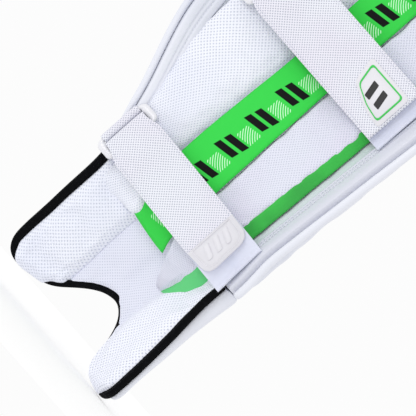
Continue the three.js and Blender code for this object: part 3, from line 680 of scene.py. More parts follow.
def hem_inset(f):
    """How far the leg-side padding stops short of the hem; less than nothing where it hangs over."""
    over = np.maximum.reduce([
        window(f, 0.52, 0.95, 0.06), window(f, -0.43, -0.17, 0.06), window(f, -0.9, -0.5, 0.06)])
    return lerp(ARCH_SHOWS, OVERHANG, over)


def pad_low(f):
    return HEM(f) + hem_inset(f)


def inner_lobe_face(p):
    edge = np.minimum(dome(p["side"], 15), dome(p["end"], 16))
    seam = 1 - 0.55 * np.exp(-((p["s"] * 90) / 5) ** 2)
    return -0.4 + 8.2 * edge * seam * lerp(1, 0.55, ramp((p["z"] - 140) / 30))


def instep_face(p):
    edge = np.minimum(dome(p["side"], 13), dome(p["end"], 12))
    crease_at = lerp(-0.39, -0.5, np.clip((p["z"] - 60) / 60, 0, 1))
    lobe = ramp((crease_at - p["f"]) / 0.12) * ramp((138 - p["z"]) / 40)
    crease = np.exp(-((p["f"] - crease_at) / 0.022) ** 2) * ramp((122 - p["z"]) / 30)
    ridge = np.exp(-((p["f"] - crease_at + 0.2) / 0.09) ** 2) * ramp((120 - p["z"]) / 50)
    return -0.4 + edge * (3.4 + 5.6 * lobe + 2.6 * ridge - 2.2 * crease)


stuffed(panel("inner_lobe_padding", LOBE_SEAM + SEAM_HALF, 1, pad_low, fold_low, inner_lobe_face,
              LINING_BACK, 24, 34, margin=TAPE_SHOWS),
        3, 3.0, 0.05, LINING_MESH, "instep", "inner_lobe_lining", 0.7)
stuffed(panel("instep_padding", -1, LOBE_SEAM - SEAM_HALF, pad_low, fold_low, instep_face,
              LINING_BACK, 40, 34, margin=1.0, face_shift=inset_at, back_shift=inset_at),
        2, 2.0, 0.03, LOBE_MESH, "instep", "instep_lining", 0.5)

# Front cover of the shoe part, quilted in upright channels
CHANNELS = 6


def cover_back(p):
    full = lerp(-15, -25, ramp(p["z"] / 150))
    outer = 1 - ramp(p["s"] * 8)
    edge = np.minimum(dome(p["side"], 9), dome(p["end"] + 2, 16))
    rim = lerp(-11.5, lerp(-12.0, -18.0, ramp(p["z"] / 130)), outer)
    groove = np.abs(np.sin(np.pi * CHANNELS * p["s"]))
    quilt = 3.2 * np.exp(-(groove / 0.22) ** 2) * ramp((p["end"] - 8) / 10) * ramp((p["side"] - 12) / 8)
    return lerp(rim, full, edge) + quilt


cover, unused = panel("instep_front_quilted_cover", -1, 1, lambda f: HEM(f) + 1, fold_low,
                      -7.4, cover_back, 60, 24, margin=1, face_shift=inset_at)
dress(smoother(cover), PU, "instep", "instep_front_cover", 0.6)


# Bindings

def taped(name, path, front, back, lap_in=6.0, thick=1.7, body="instep", node=None, material=None,
          wander=0.35, shift=level(0.0), lap_top=None):
    """Tape folded round an edge that follows points of x and z. Its lap narrows to lap_top at the fold."""
    path = np.asarray(path, float)
    far = run_along(path)
    at = np.linspace(0, far[-1], int(far[-1] / 4) + 2)
    path = np.stack([np.interp(at, far, path[:, k]) for k in (0, 1)], 1)
    for unused in range(3):
        path[1:-1] = (path[:-2] + 2 * path[1:-1] + path[2:]) / 4
    ahead = headings(path)
    out = np.stack([ahead[:, 1], -ahead[:, 0]], 1)
    middle, half = (front + back) / 2, (back - front) / 2 + thick
    turn = np.linspace(np.pi / 2, -np.pi / 2, 9)
    lap_top = lap_in if lap_top is None else lap_top
    shape = [(-lap_in, back + 0.4), (-lap_in + 0.6, back + thick), (-lap_in * 0.5, back + thick + 0.2)]
    shape += [(1.4 + 1.6 * math.cos(a), middle + half * math.sin(a)) for a in turn]
    shape += [(-lap_in * 0.5, front - thick - 0.2), (-lap_in + 0.6, front - thick), (-lap_in, front - 0.4)]
    shape += [(0.4, front + 0.4), (0.4, back - 0.4)]
    rings = []
    for (x, z), (ox, oz), d in zip(path, out, at):
        sway = wander * (math.sin(d / 17.0) + 0.6 * math.sin(d / 6.1 + 1))
        narrow = lerp(1, lap_top / lap_in, np.clip(z / INSTEP_FOLD, 0, 1))
        row = [(o * (narrow if o < 0 else 1) + (sway if o < -lap_in * 0.4 else 0), depth)
               for o, depth in shape]
        rings.append([shifted(place(x + ox * o, z + oz * o, depth), shift(z)) for o, depth in row])
    return dress(smoother(tube(name, rings)), material or TAPE, body, node)


def hem_points(low, high, count=30):
    f = np.linspace(low, high, count)
    return np.stack([across(f, HEM(f)), HEM(f)], 1)


def side_points(fraction, z0, z1, count=12):
    z = np.linspace(z0, z1, count)
    return np.stack([across(fraction, z), z], 1)


ARCH_INNER, ARCH_OUTER = 0.62, -0.7
taped("outer_edge_binding_tape", np.concatenate([
    side_points(-1, fold_low - 1, HEM(-1) + 6), hem_points(-1, ARCH_OUTER)]), -4.6, 0.2,
    node="outer_edge_black_binding", shift=edge_inset, lap_top=1.5)
taped("arch_binding_tape", hem_points(ARCH_OUTER, ARCH_INNER, 60), -6, 0.2, lap_in=5.5,
      node="arch_black_binding")
taped("inner_edge_binding_tape", np.concatenate([
    hem_points(ARCH_INNER, 1), side_points(1, HEM(1) + 6, fold_low)]), -6, 0.2,
    node="inner_edge_black_binding")

# Shin: front ribs
RIBS, RIB_SPAN, RIB_BACK, RIB_CREST, KNEE_CREST, WING_FRONT = 7, 0.86, -18.2, -42, -48, -14
RIB_FILL = 2, 1.5, 0.02
PIPING_RADIUS = 3.2


def rib_pitch(z):
    return RIB_SPAN * (INNER_EDGE(z) - OUTER_EDGE(z)) / RIBS


for i in range(RIBS):
    offset = i - (RIBS - 1) / 2
    stuffed(upright(
        f"shin_rib_{i + 1}_padding", fold_high + 1, BARS_LOW - 1,
        lambda z, k=offset: across(0, z) + k * rib_pitch(z), lambda z: rib_pitch(z) / 2 - 0.2,
        RIB_BACK + 3, lambda z, a: RIB_CREST + 3 + 0 * a, taper=0.45, reach=26, waves=0.35),
        *RIB_FILL, PU, "pad", f"shin_rib_{i + 1}", 0.8)

# Knee roll
BARS = 3
bar_pitch = (FLAP_FOLD - BARS_LOW) / BARS
for i in range(BARS):
    z_mid = BARS_LOW + (i + 0.5) * bar_pitch
    a, rise = section(20, 6)
    t = steps(44, 0.7)[:, None]
    x_mid = across(lerp(-0.9, 0.9, t), z_mid)
    size = end_size(t, 270, 0.45, 20)
    z = z_mid + a[None] * (bar_pitch / 2 - 0.3) * lerp(1, size, 0.4)
    wave = 0.4 * np.sin(x_mid / 8.0 + 2 * np.sin(x_mid / 27.0)) * rise[None]
    depth = RIB_BACK + 3 + (KNEE_CREST - RIB_BACK - 1) * rise[None] * size + wave
    bar = tube(f"knee_roll_bar_{i + 1}_padding", place(np.broadcast_to(x_mid, z.shape), z, depth))
    free = np.broadcast_to(ramp((rise[None] - 0.15) / 0.5) * ramp((size - 0.6) / 0.3), z.shape).ravel()
    stuffed((bar, np.concatenate([free, [0, 0]])), *RIB_FILL, PU, "pad", f"knee_roll_bar_{i + 1}", 0.8)

# Skin behind the ribs, and the smooth lining on the leg side
dress(panel("shin_front_skin", -0.93, 0.95, fold_high, flap_low, -15.8, -17.6,
            40, 40)[0], PU, "pad")
dress(panel("shin_lining_cloth", -0.83, 0.86, fold_high, flap_low, -0.4, -6.0,
            40, 50)[0], MINT_PU, "pad", "shin_lining")

# Side wings
for name, left, right, node in (
        ("outer_side_wing_padding", -1, -0.815, "outer_side_wing"),
        ("inner_side_wing_padding", 0.845, 1, "inner_side_wing")):
    seam_at = 0.62 if left < 0 else 0.38

    def wing_face(p, at=seam_at):
        groove = np.exp(-((p["s"] - at) / 0.05) ** 2) + np.exp(-((p["s"] - at - 0.16) / 0.05) ** 2)
        return 0.6 + 3.4 * dome(p["side"], 7) * dome(p["end"] + 4, 8) - 2.0 * groove

    wing, unused = panel(name, left, right, fold_high, flap_low, wing_face,
                       lambda p: WING_FRONT - 3 * dome(p["side"], 6), 20, 60, margin=1, face_shift=wing_shift,
                       back_shift=wing_shift)
    # The outer wing takes the painted-shade copy of the white leathercloth, and the inner wing the plain one.
    dress(smoother(wing), SHADED_WING_PU if left < 0 else PU, "pad", node, 0.6)

# Pipings along the wings


def piping(name, path, depth, radius, node, shift=level(0.0)):
    rings = []
    for (x, z), (dx, dz) in zip(path, headings(path)):
        ring = []
        for k in range(12):
            turn = 2 * math.pi * k / 12
            out = radius + radius * math.cos(turn)
            spot = place(x + dz * out, z - dx * out, depth + 1.5 * radius * math.sin(turn))
            ring.append(shifted(spot, shift(z)))
        rings.append(ring)
    return dress(smoother(tube(name, rings)), PU, "pad", node)


outer_path = side_points(-1, flap_low, fold_high, 60)
inner_path = side_points(1, fold_high, flap_low, 60)
inner_path[:, 0] -= 1
piping("outer_wing_piping_cord", outer_path, WING_FRONT / 2, PIPING_RADIUS, "outer_wing_piping",
       lambda z: -wing_flare(z))
piping("inner_wing_piping_cord", inner_path, WING_FRONT / 2, PIPING_RADIUS, "inner_wing_piping")

# Leg-side bolsters
BOLSTER_TOP, BOLSTER_LOW, BOLSTER_HALF, BOLSTER_BASE = 530, 160, 31, 0.8


def spread_low(z):
    """How far the roll's inner side widens towards its lower end, shared by the strip over it."""
    return 3.5 * ramp((400 - z) / 160)


def crown(a):
    return 25.6 - 2.9 * np.abs(a) ** 3


bolster, unused = upright(
    "centre_bolster_padding", BOLSTER_LOW, BOLSTER_TOP, spread_low,
    lambda z: BOLSTER_HALF + spread_low(z),
    BOLSTER_BASE, lambda z, a: crown(a) - 0.6, taper=0.6, reach=30, power=0.42, count=24)
dress(smoother(bolster), LINING_MESH, "pad", "centre_bolster", 0.85)


def inner_half_edge(z):
    return INNER_EDGE(z) - lerp(9, 27, ramp((z - 225) / 190)) - 4 * ramp((190 - z) / 20)


def inner_crest(z, a):
    """Fuller towards the shin's middle, with a soft hollow where it meets the wing."""
    lap = ramp((-0.1 - a) / 0.5) * ramp((212 - z) / 40)
    return 14.5 - 5.5 * a - 3.5 * np.maximum(a - 0.4, 0) + 11 * lap


def inner_root(z):
    return 32.5 + 2 * spread_low(z) - 24 * ramp((212 - z) / 44)


stuffed(upright(
    "inner_mesh_bolster_padding", 151, BOLSTER_TOP, lambda z: (inner_root(z) + inner_half_edge(z)) / 2,
    lambda z: (inner_half_edge(z) - inner_root(z)) / 2, BOLSTER_BASE, inner_crest, taper=0.3, reach=15,
    count=30, pitch=6, power=0.5, slant=7), 3, 2.2, 0.03, LINING_MESH, "pad", "inner_mesh_bolster", 0.75)

FLAP_EDGE = curve([(122, -58), (150, -74), (180, -83), (240, -88), (380, -98), (530, -102)])
FLAP_ROOT = curve([(122, -55), (136, -50), (150, -43), (165, -35), (182, -28.5), (530, -27.5)])
stuffed(upright(
    "outer_mesh_bolster_padding", 122, BOLSTER_TOP, lambda z: (FLAP_EDGE(z) + FLAP_ROOT(z)) / 2,
    lambda z: (FLAP_ROOT(z) - FLAP_EDGE(z)) / 2, 3.0,
    lambda z, a: 20.5 + 2.2 * a + 4.6 * ramp((a - 0.35) / 0.6), taper=0.4, reach=30, count=28, pitch=6,
    power=0.45), 2, 1.6, 0.02, FINE_MESH, "pad", "outer_mesh_bolster", 0.7)

# Green strip over the centre bolster
a = np.linspace(-0.97, 0.97, 20)[None]
low_end = BOLSTER_LOW + 5 * a - 1
z = low_end + np.linspace(0, 1, 90)[:, None] * (BOLSTER_TOP - low_end)
size = end_size((z - BOLSTER_LOW + 8) / (BOLSTER_TOP - BOLSTER_LOW + 8), BOLSTER_TOP - BOLSTER_LOW, 0.6, 30)
strip_x = spread_low(z) + a * (BOLSTER_HALF + spread_low(z)) * lerp(1, size, 0.3) - 4 * ramp((175 - z) / 25)
strip_depth = BOLSTER_BASE + (crown(a) - BOLSTER_BASE) * size + 0.25 * np.sin(z / 11 + a * 2)
strip = layer("green_centre_strip_satin", strip_x, z, strip_depth + 1.3, strip_depth + 0.1)
dress(strip, SATIN, "pad", "green_centre_strip")

# Green gusset under the outer bolster's free edge
z = np.linspace(122, BOLSTER_TOP - 2, 80)[:, None]
t = np.linspace(0, 1, 9)[None]
kink = 0.9 * np.sin(z / 6.3 + 1.7 * np.sin(z / 19)) + 0.5 * np.sin(z / 2.9)
wide = (lerp(10.5, 5, ramp((z - 150) / 330)) + 7 * ramp((185 - z) / 25)) * ramp((z - 116) / 12)
gusset_x = FLAP_EDGE(z) + 1.5 - t * wide - kink * t * 0.5
gusset_depth = lerp(14.0, 2.2, t ** 1.3) * lerp(0.55, 1, ramp((z - 122) / 50)) + kink * 0.35
gusset_z = np.broadcast_to(z, gusset_x.shape)
gusset = slab("green_gusset_cloth", place(gusset_x, gusset_z, gusset_depth),
              place(gusset_x + 0.9, gusset_z, gusset_depth - 1.0))
dress(gusset, GREEN_CLOTH, "pad", "green_gusset")

# Knee cushions
CUP_LOW, CUP_HIGH = BOLSTER_TOP + 4, FLAP_FOLD - 5
for name, share in (("inner_knee_cushion", 0.5), ("outer_knee_cushion", -0.48)):
    stuffed(upright(
        f"{name}_padding", CUP_LOW, CUP_HIGH, lambda z, s=share: across(s, z), 34, BOLSTER_BASE,
        lambda z, a: 18.5 - 2.5 * a * a, taper=0.4, reach=18, count=24, pitch=5, power=0.5),
        2, 2.0, 0.04, LINING_MESH, "pad", name, 0.7)
stuffed(panel("knee_cup_padding", -0.2, 0.22, CUP_LOW, CUP_HIGH,
              lambda p: 1.5 + 8 * np.minimum(dome(p["side"], 18), dome(p["end"], 18)), 0.2, 18, 18),
        2, 2.0, 0.04, LINING_MESH, "pad", "knee_cup_pad", 0.6)

# Top flap


def top_edge(drop):
    return lambda f: PAD_TOP - drop - 56 * np.abs(f) ** 2.6


def top_face(p):
    quilt = np.exp(-((np.abs(p["f"]) - 0.36) / 0.02) ** 2) * ramp((p["end"] - 6) / 10)
    return -0.4 + 6.4 * np.minimum(dome(p["side"], 16), dome(p["end"], 16)) - 2.2 * quilt


stuffed(panel("top_flap_lining_padding", -0.97, 0.97, flap_high, top_edge(6), top_face,
              -6.2, 50, 24, margin=2),
        2, 1.5, 0.03, LINING_MESH, "top_flap", "top_flap_lining", 0.6)
dress(panel("top_flap_front_skin", -0.97, 0.97, flap_high, top_edge(3), -12.6, -14.2,
            40, 20, margin=1)[0], PU, "top_flap")
TOP_RIBS, TOP_SPAN, TOP_CREST = 5, 0.93, -34.0


def top_pitch(z):
    return TOP_SPAN * (INNER_EDGE(z) - OUTER_EDGE(z)) / TOP_RIBS


for i in range(TOP_RIBS):
    offset = i - (TOP_RIBS - 1) / 2
    top = float(top_edge(11)(abs(offset) / 2 * TOP_SPAN))
    stuffed(upright(
        f"top_flap_rib_{i + 1}_padding", flap_high + 1, top,
        lambda z, k=offset: across(0, z) + k * top_pitch(z), lambda z: top_pitch(z) / 2 - 0.3,
        WING_FRONT + 1.5, lambda z, a: TOP_CREST + 2 + 0 * a, taper=0.35, reach=24, waves=0.3),
        *RIB_FILL, PU, "top_flap", f"top_flap_rib_{i + 1}", 0.8)
arc = np.cos(np.linspace(0, np.pi, 60))
top_path = np.concatenate([
    side_points(1, flap_high, top_edge(0)(1), 6)[:-1],
    np.stack([across(arc, top_edge(0)(arc)), top_edge(0)(arc)], 1),
    side_points(-1, top_edge(0)(1), flap_high, 6)[1:]])
taped("top_flap_binding_tape", top_path, WING_FRONT + 0.6, 0.2, body="top_flap", node="top_flap_binding",
      material=PU, wander=0.15)


# Cloth across the two folds. It stops short of the pad's edges, where a bent fold still opens.

def blend_over_fold(piece, z_fold, reach, body):
    y = float(FORWARD(z_fold)) * MM
    start, end = (0, y, (z_fold + reach) * MM), (0, y, (z_fold - reach) * MM)
    if body == "top_flap":
        start, end = end, start
    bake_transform(piece)


def fold_strip(name, z_fold, depth, thick, body, margin, material, shift=no_shift):
    reach = 7
    f = np.linspace(-1, 1, 60)[None]
    z = np.linspace(z_fold - reach, z_fold + reach, 9)[:, None]
    x = across(f, z, margin)
    strip_piece = layer(name, x, np.broadcast_to(z, x.shape), depth, depth - thick, shift(f, z), shift(f, z))
    strip_piece.data.materials.append(material)
    blend_over_fold(strip_piece, z_fold, reach, body)


fold_strip("instep_fold_lining_strip", INSTEP_FOLD, 0.6, 1.0, "instep", 8, FINE_MESH, inset_at)
fold_strip("instep_fold_front_strip", INSTEP_FOLD, -15.0, 1.0, "instep", 3, PU)
fold_strip("top_flap_fold_lining_strip", FLAP_FOLD, 0.4, 1.0, "top_flap", 4, MINT_PU)
fold_strip("top_flap_fold_front_strip", FLAP_FOLD, -15.0, 1.0, "top_flap", 4, PU)

# ---------------------------------------------------------------- straps and loops

STRAPS = {
    "ankle": dict(z=201, width=63, fold_x=87, sewn_x=-119, end_x=-68, fold_y=34, sewn_y=46, slope=0.04),
    "calf": dict(z=426, width=73, fold_x=110, sewn_x=-122, end_x=-107, fold_y=42, sewn_y=47, slope=0.02),
    "knee": dict(z=568, width=63, fold_x=110, sewn_x=-120, end_x=-105, fold_y=46, sewn_y=46, slope=0.0)}
WEB, WAIST, WAIST_LENGTH = 2.2, 5.5, 26
BAR_RADIUS, BAR_PLAY, BAR_SPACING, LOOP_TO_FOLD, SIDE_PLAY = 2.5, 1.6, 23, 12, 1
FOLD_CLOTH, PATCH_LENGTH, PATCH_HEIGHT = 9, 33, 3.3


class Strap:
    """Where one strap runs: heights over x, and its edges."""

    def __init__(self, name, spec):
        self.name = name
        self.__dict__.update(spec)
        self.half = self.width / 2
        self.layer_gap = 2 * (BAR_RADIUS + BAR_PLAY) + WEB
        self.lean = (self.sewn_y - self.under_y(self.fold_x)) / (self.fold_x - self.sewn_x)

    def middle_z(self, x):
        return self.z + self.slope * x

    def half_at(self, x):
        return self.half - WAIST * ramp(1 - (self.fold_x - x) / WAIST_LENGTH)

    def under_y(self, x):
        t = (self.fold_x - x) / (self.fold_x - self.sewn_x)
        return lerp(self.fold_y - self.layer_gap / 2, self.sewn_y, t)

    def over_y(self, x):
        ease = ramp((self.fold_x - x - 20) / 50)
        return self.under_y(x) + lerp(self.layer_gap, WEB + 0.6, ease)

    def loop_y(self, x):
        return self.fold_y + (self.fold_x - x) * self.lean


def ribbon(name, centre, middle, half, thick=WEB, cols=20, ripple=0.0):
    """A flat band along points of x and y, its edges rounded, with a weave map along it."""
    centre = np.asarray(centre, float)
    ahead = headings(centre)
    normal = np.stack([ahead[:, 1], -ahead[:, 0]], 1)
    a = np.sin(np.linspace(-np.pi / 2, np.pi / 2, cols) * 0.94) / math.sin(np.pi / 2 * 0.94)
    thin = thick / 2 * (1 - 0.55 * np.abs(a) ** 10)
    far = run_along(centre)
    wave = ripple * np.sin(far / 13.0)[:, None] * np.cos(a * 4)[None]
    z = middle(centre[:, 0])[:, None] + a[None] * half(centre[:, 0])[:, None]
    sides = []
    for sign in (1, -1):
        off = sign * thin[None] + wave
        sides.append(np.stack([
            centre[:, :1] + normal[:, :1] * off, centre[:, 1:] + normal[:, 1:] * off, z], -1))
    return slab(name, sides[0], sides[1])


def rounded_plate(name, outline, base, up, bevel=0.7):
    """A plate with a rounded rim on a strap: outline of x and z points, lying at heights base(x)."""
    outline = np.asarray(outline, float)
    middle = outline.mean(0)
    rings = []
    for inset, rise in ((0, 0), (0, 0.45), (0.35, 0.85), (1.0, 1.0)):
        away = outline - middle
        size = np.linalg.norm(away, axis=1, keepdims=True)
        ring = middle + away * np.maximum(0, 1 - inset * bevel / size)
        rings.append(np.stack([ring[:, 0], base(ring[:, 0]) + up * rise, ring[:, 1]], 1))
    return tube(name, rings)


def rounded(points, radius, steps_each=6):
    """The outline with its corners rounded, by one radius or one for each corner."""
    points = [np.asarray(p, float) for p in points]
    radii = radius if isinstance(radius, tuple) else (radius,) * len(points)
    done = []
    for k, p in enumerate(points):
        before, after = points[k - 1] - p, points[(k + 1) % len(points)] - p
        r = min(radii[k], np.linalg.norm(before) / 2.2, np.linalg.norm(after) / 2.2)
        p0 = p + before / np.linalg.norm(before) * r
        p1 = p + after / np.linalg.norm(after) * r
        for t in np.linspace(0, 1, steps_each):
            done.append((1 - t) ** 2 * p0 + 2 * t * (1 - t) * p + t * t * p1)
    return np.array(done)


def stitches(name, line, body, out, length=2.6, gap=1.5, radius=0.32):
    """A row of thread stitches along a line of points, joined into one piece."""
    line = np.asarray(line, float)
    far = run_along(line)
    points, faces = [], []
    for d in np.arange(gap, far[-1] - length, length + gap):
        ends = [np.array([np.interp(x, far, line[:, k]) for k in range(3)]) for x in (d, d + length)]
        along = (ends[1] - ends[0]) / length
        up = np.asarray(out, float)
        side = np.cross(along, up)
        side /= max(np.linalg.norm(side), 1e-9)
        first = len(points)
        points.append(ends[0])
        for share in (0.25, 0.75):
            spot = ends[0] + along * length * share
            for k in range(4):
                turn = math.pi / 4 + math.pi / 2 * k
                points.append(spot + radius * (math.cos(turn) * side + math.sin(turn) * up))
        points.append(ends[1])
        for k in range(4):
            n = (k + 1) % 4
            faces.append([first, first + 1 + n, first + 1 + k])
            faces.append([first + 1 + k, first + 1 + n, first + 5 + n, first + 5 + k])
            faces.append([first + 5 + k, first + 5 + n, first + 9])
    piece = make(name, points, faces)
    piece.data.materials.append(THREAD)
    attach(piece, body)
    return piece


def lay_down(piece, strap, length=28, wing_height=5.6):
    """Bends the sewn end of a strap's under layer down onto the wing."""
    for vertex in piece.data.vertices:
        x, z = vertex.co.x / MM, vertex.co.z / MM
        gap = strap.under_y(x) - WEB / 2 - float(lining_y(x, z)) - wing_height
        vertex.co.y -= max(0.0, gap) * float(ramp((strap.sewn_x + length - x) / length)) * MM


def loop_moulding(strap, bar_x):
    """The plastic loop, broader round its corners."""
    inner_x = bar_x - BAR_SPACING
    loop_half = strap.half - WAIST + SIDE_PLAY + BAR_RADIUS
    bend = 5
    rings = []
    for cx, cz, start in ((bar_x - bend, loop_half - bend, 0), (inner_x + bend, loop_half - bend, 90),
                          (inner_x + bend, bend - loop_half, 180), (bar_x - bend, bend - loop_half, 270)):
        for step in np.linspace(0, 90, 8):
            angle = math.radians(start + step)
            ring = []
            for k in range(14):
                t = 2 * math.pi * k / 14
                broad = 1 + 0.9 * abs(math.sin(angle)) ** 3
                out = bend + BAR_RADIUS * (broad * math.cos(t) + (broad - 1) * 0.4)
                x = cx + out * math.cos(angle)
                ring.append((x, strap.loop_y(x) + BAR_RADIUS * math.sin(t),
                             strap.middle_z(bar_x) + cz + out * math.sin(angle)))
            rings.append(ring)
    loop = f"{strap.name}_loop"
    dress(tube(f"{loop}_moulding", rings, joined=True), PLASTIC, loop, loop)


def loop_tab(strap, bar_x):
    """Webbing rolled over the loop's outer bar, its two tails sewn down on the wing."""
    roll_r = BAR_RADIUS + 0.4 + WEB / 2
    tab_y = strap.loop_y(bar_x)
    tab_z = strap.middle_z(bar_x)
    foot = [float(lining_y(bar_x + d, tab_z)) + 2.2 for d in (roll_r, -roll_r)]
    foot = [min(f, tab_y - 1) for f in foot]
    angles = np.linspace(0, np.pi, 13)
    path = np.concatenate([
        [(bar_x + roll_r, lerp(foot[0], tab_y, t)) for t in np.linspace(0, 0.9, 4)],
        np.stack([bar_x + roll_r * np.cos(angles), tab_y + roll_r * np.sin(angles)], 1),
        [(bar_x - roll_r, lerp(tab_y, foot[1], t)) for t in np.linspace(0.1, 1, 4)]])
    tab_half = strap.half - WAIST - 1
    tab = ribbon(f"{strap.name}_loop_tab_webbing", path, lambda x, c=tab_z: c + 0 * x,
                 lambda x, h=tab_half: h + 0 * x, cols=16)
    dress(tab, STRAP_MESH, "pad", f"{strap.name}_loop_webbing")


def rubber_patch(strap, end_body):
    """Moulded rubber end patch with a rim and three plain raised bars."""
    x0 = strap.end_x
    shape = [(x0 + 1.5, -0.99), (x0 + 1.5, 0.99), (x0 - PATCH_LENGTH + 2, 0.97), (x0 - PATCH_LENGTH, -0.9)]
    outline = rounded([(x, strap.middle_z(x) + s * strap.half) for x, s in shape], (2, 2, 15, 13))

    def base(x):
        past_end = np.minimum(x, strap.end_x) - strap.end_x
        return strap.over_y(np.maximum(x, strap.end_x)) - past_end * 0.08 - 1.1

    patch = rounded_plate("ankle_strap_end_rubber_patch", outline, base, PATCH_HEIGHT)
    dress(patch, RUBBER, end_body, "ankle_strap_end_patch")
    middle = outline.mean(0)
    inner = [middle + (p - middle) * 0.84 for p in outline]
    rings = []
    for k in range(len(inner)):
        p = inner[k]
        away = (p - middle) / np.linalg.norm(p - middle)
        y = base(p[0]) + PATCH_HEIGHT
        rings.append([
            (p[0] + away[0] * 0.8 * math.cos(t), y + 0.7 * math.sin(t), p[1] + away[1] * 0.8 * math.cos(t))
            for t in np.linspace(0, 2 * math.pi, 9)[:-1]])
    dress(tube("ankle_patch_raised_rim", rings, joined=True), RUBBER, end_body)
    for k in range(3):
        zc = middle[1] + (k - 1) * 13
        bar = [(middle[0] - 9, zc - 6.5), (middle[0] - 9, zc + 0.5), (middle[0] + 9, zc + 6.5),
               (middle[0] + 9, zc - 0.5)]
        mark = rounded_plate(f"ankle_patch_raised_bar_{k + 1}", rounded(bar, 2.5, 4),
                             lambda x: base(x) + 3.0, 1.8)
        dress(mark, RUBBER, end_body)


def woven_label(strap, end_body, top_y):
    """Woven label: white ground, green outline and two plain black bars."""
    corners = [(2.5, 0.64), (2.5, -0.6), (30, -0.5), (60, -0.2), (68, 0.64)]
    points = [(strap.end_x + i, strap.middle_z(strap.end_x + i) + s * strap.half) for i, s in corners]
    ground = rounded(points, 6)
    plate = rounded_plate(f"{strap.name}_label_ground", ground, top_y, 1.2)
    dress(plate, RUBBER, end_body, f"{strap.name}_strap_label")
    middle = ground.mean(0)
    inner = np.array([middle + (p - middle) * 0.82 for p in ground])
    core = np.array([middle + (p - middle) * 0.75 for p in ground])

    def y_at(x):
        return top_y(x) + 1.15

    grid = []
    for lift in (0.0, 0.35):
        grid.append(np.stack([np.stack([ring[:, 0], y_at(ring[:, 0]) + lift, ring[:, 1]], 1)
                              for ring in (inner, core)]))
    rings = [[grid[0][0][k], grid[1][0][k], grid[1][1][k], grid[0][1][k]] for k in range(len(inner))]
    outline_piece = tube(f"{strap.name}_label_green_outline", rings, joined=True)
    dress(outline_piece, PRINT_GREEN, end_body)
    for k in range(2):
        xc = middle[0] - 10 + k * 15
        bar = [(xc - 5, middle[1] - 9), (xc + 3, middle[1] - 9), (xc + 8, middle[1] + 9),
               (xc, middle[1] + 9)]
        mark = rounded_plate(f"{strap.name}_label_black_bar_{k + 1}", rounded(bar, 1.0, 3), y_at, 0.4)
        dress(mark, PRINT_BLACK, end_body)


for strap_name, spec in STRAPS.items():
    strap = Strap(strap_name, spec)
    end_body = f"{strap_name}_strap_end"
    roll = strap.layer_gap / 2
    # Under layer, from the sewn end to the far side of the fold
    under_x = np.linspace(strap.sewn_x, strap.fold_x, 70)
    turn = np.linspace(-np.pi / 2, 0.1, 8)[1:]
    path = np.concatenate([
        np.stack([under_x, strap.under_y(under_x)], 1),
        np.stack([strap.fold_x + roll * np.cos(turn), strap.fold_y + roll * np.sin(turn)], 1)])
    under = ribbon(f"{strap_name}_strap_under_webbing", path, strap.middle_z, strap.half_at)
    lay_down(under, strap)
    dress(under, STRAP_BACK, "pad", f"{strap_name}_strap_under")
    # Over layer, from the far side of the fold back to its free end
    turn = np.linspace(0.0, np.pi / 2, 9)[:-1]
    over_x = np.linspace(strap.fold_x, strap.end_x, 60)
    over_y = strap.over_y(over_x)
    path = np.concatenate([
        np.stack([strap.fold_x + roll * np.cos(turn), strap.fold_y + roll * np.sin(turn)], 1),
        np.stack([over_x, over_y], 1)])
    over = ribbon(f"{strap_name}_strap_over_webbing", path, strap.middle_z, strap.half_at, ripple=0.15)
    over.data.materials.append(STRAP_MESH)
    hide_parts(f"{strap_name}_strap_over")
    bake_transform(over)
    top_y = lambda x, s=strap: s.over_y(x) + WEB / 2
    # Edge stitching of the over layer
    for sign, word in ((1, "upper"), (-1, "lower")):
        x = np.linspace(strap.fold_x - 10, strap.end_x + 2, 60)
        line = np.stack([x, top_y(x) + 0.05, strap.middle_z(x) + sign * (strap.half_at(x) - 3)], 1)
        stitches(f"{strap_name}_strap_{word}_stitching", line, end_body, (0, 1, 0))
    bar_x = strap.fold_x + LOOP_TO_FOLD
    loop_moulding(strap, bar_x)
    loop_tab(strap, bar_x)
    if strap_name == "ankle":
        rubber_patch(strap, end_body)
    else:
        woven_label(strap, end_body, top_y)

# Stitched seam lines down the wings
for fraction, word in (
        (-0.845, "outer_wing_seam_a"), (-0.875, "outer_wing_seam_b"), (0.9, "inner_wing_seam")):
    z = np.linspace(fold_high + 4, flap_low - 4, 160)
    seam = shifted(place(across(fraction, z), z, 3.4), wing_shift(fraction, z))
    stitches(f"{word}_stitching", seam, "pad", (0, 1, 0))


# ---------------------------------------------------------------- camera, lights and floor

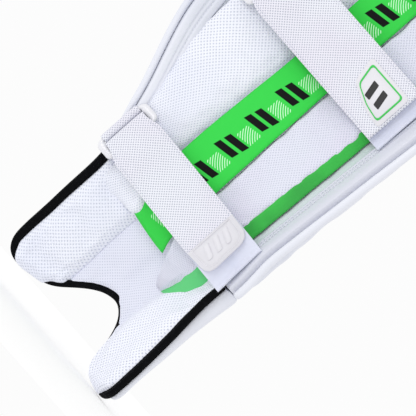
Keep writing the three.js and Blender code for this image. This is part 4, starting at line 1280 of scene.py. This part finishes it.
THETA, ROLL = math.radians(22), math.radians(41.5)
TARGET = Vector((-0.033, 0.020, 0.2151))
FIELD, DISTANCE = 0.4368, 6.0
towards = Vector((-math.sin(THETA), math.cos(THETA), 0))
sideways = Vector((-math.cos(THETA), -math.sin(THETA), 0))
upwards = Vector((0, 0, 1))
right = upwards * math.cos(ROLL) + sideways * math.sin(ROLL)
up = upwards * math.sin(ROLL) - sideways * math.cos(ROLL)

camera_data = bpy.data.cameras.new("camera")
camera_data.sensor_width = 36
camera_data.lens = 36 * DISTANCE / FIELD
camera_data.clip_end = 60
camera = bpy.data.objects.new("camera", camera_data)
scene.collection.objects.link(camera)
place_camera = Matrix((right, up, towards)).transposed().to_4x4()
place_camera.translation = TARGET + towards * DISTANCE
camera.matrix_world = place_camera
scene.camera = camera

low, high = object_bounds()
floor_z = low.z / MM - 1
round_floor = [(900 * math.cos(t), 900 * math.sin(t), floor_z) for t in np.linspace(0, 2 * math.pi, 97)[:-1]]
floor = make("floor", round_floor, [list(range(96))], smooth=False)
floor_finish = Finish("floor_paint", (0.6, 0.6, 0.6), 0.95, specular=0.0)
floor_finish.raise_by(floor_finish.noise(40))
floor_finish.shader.inputs["Emission Color"].default_value = (1, 1, 1, 1)
floor_finish.shader.inputs["Emission Strength"].default_value = 0.385
floor.data.materials.append(floor_finish.done(0.0001, 0.2))
floor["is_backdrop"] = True

world = bpy.data.worlds.new("world")
world.use_nodes = True
world.node_tree.nodes["Background"].inputs[0].default_value = (0.975, 0.975, 0.975, 1)
world.node_tree.nodes["Background"].inputs[1].default_value = 1.0
scene.world = world


def sun(name, direction, energy, size, colour=(1, 1, 1)):
    data = bpy.data.lights.new(name, "SUN")
    data.energy, data.angle, data.color = energy, math.radians(size), colour
    lamp = bpy.data.objects.new(name, data)
    scene.collection.objects.link(lamp)
    lamp.rotation_mode = "QUATERNION"
    lamp.rotation_quaternion = Vector(direction).to_track_quat("Z", "Y")


sun("key_light", towards + up * 0.9 - right * 0.5, 0.55, 25)
sun("front_fill", Vector((0.4, -1, 0.6)), 0.35, 40)
scene.view_settings.view_transform = "Standard"

low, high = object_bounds()
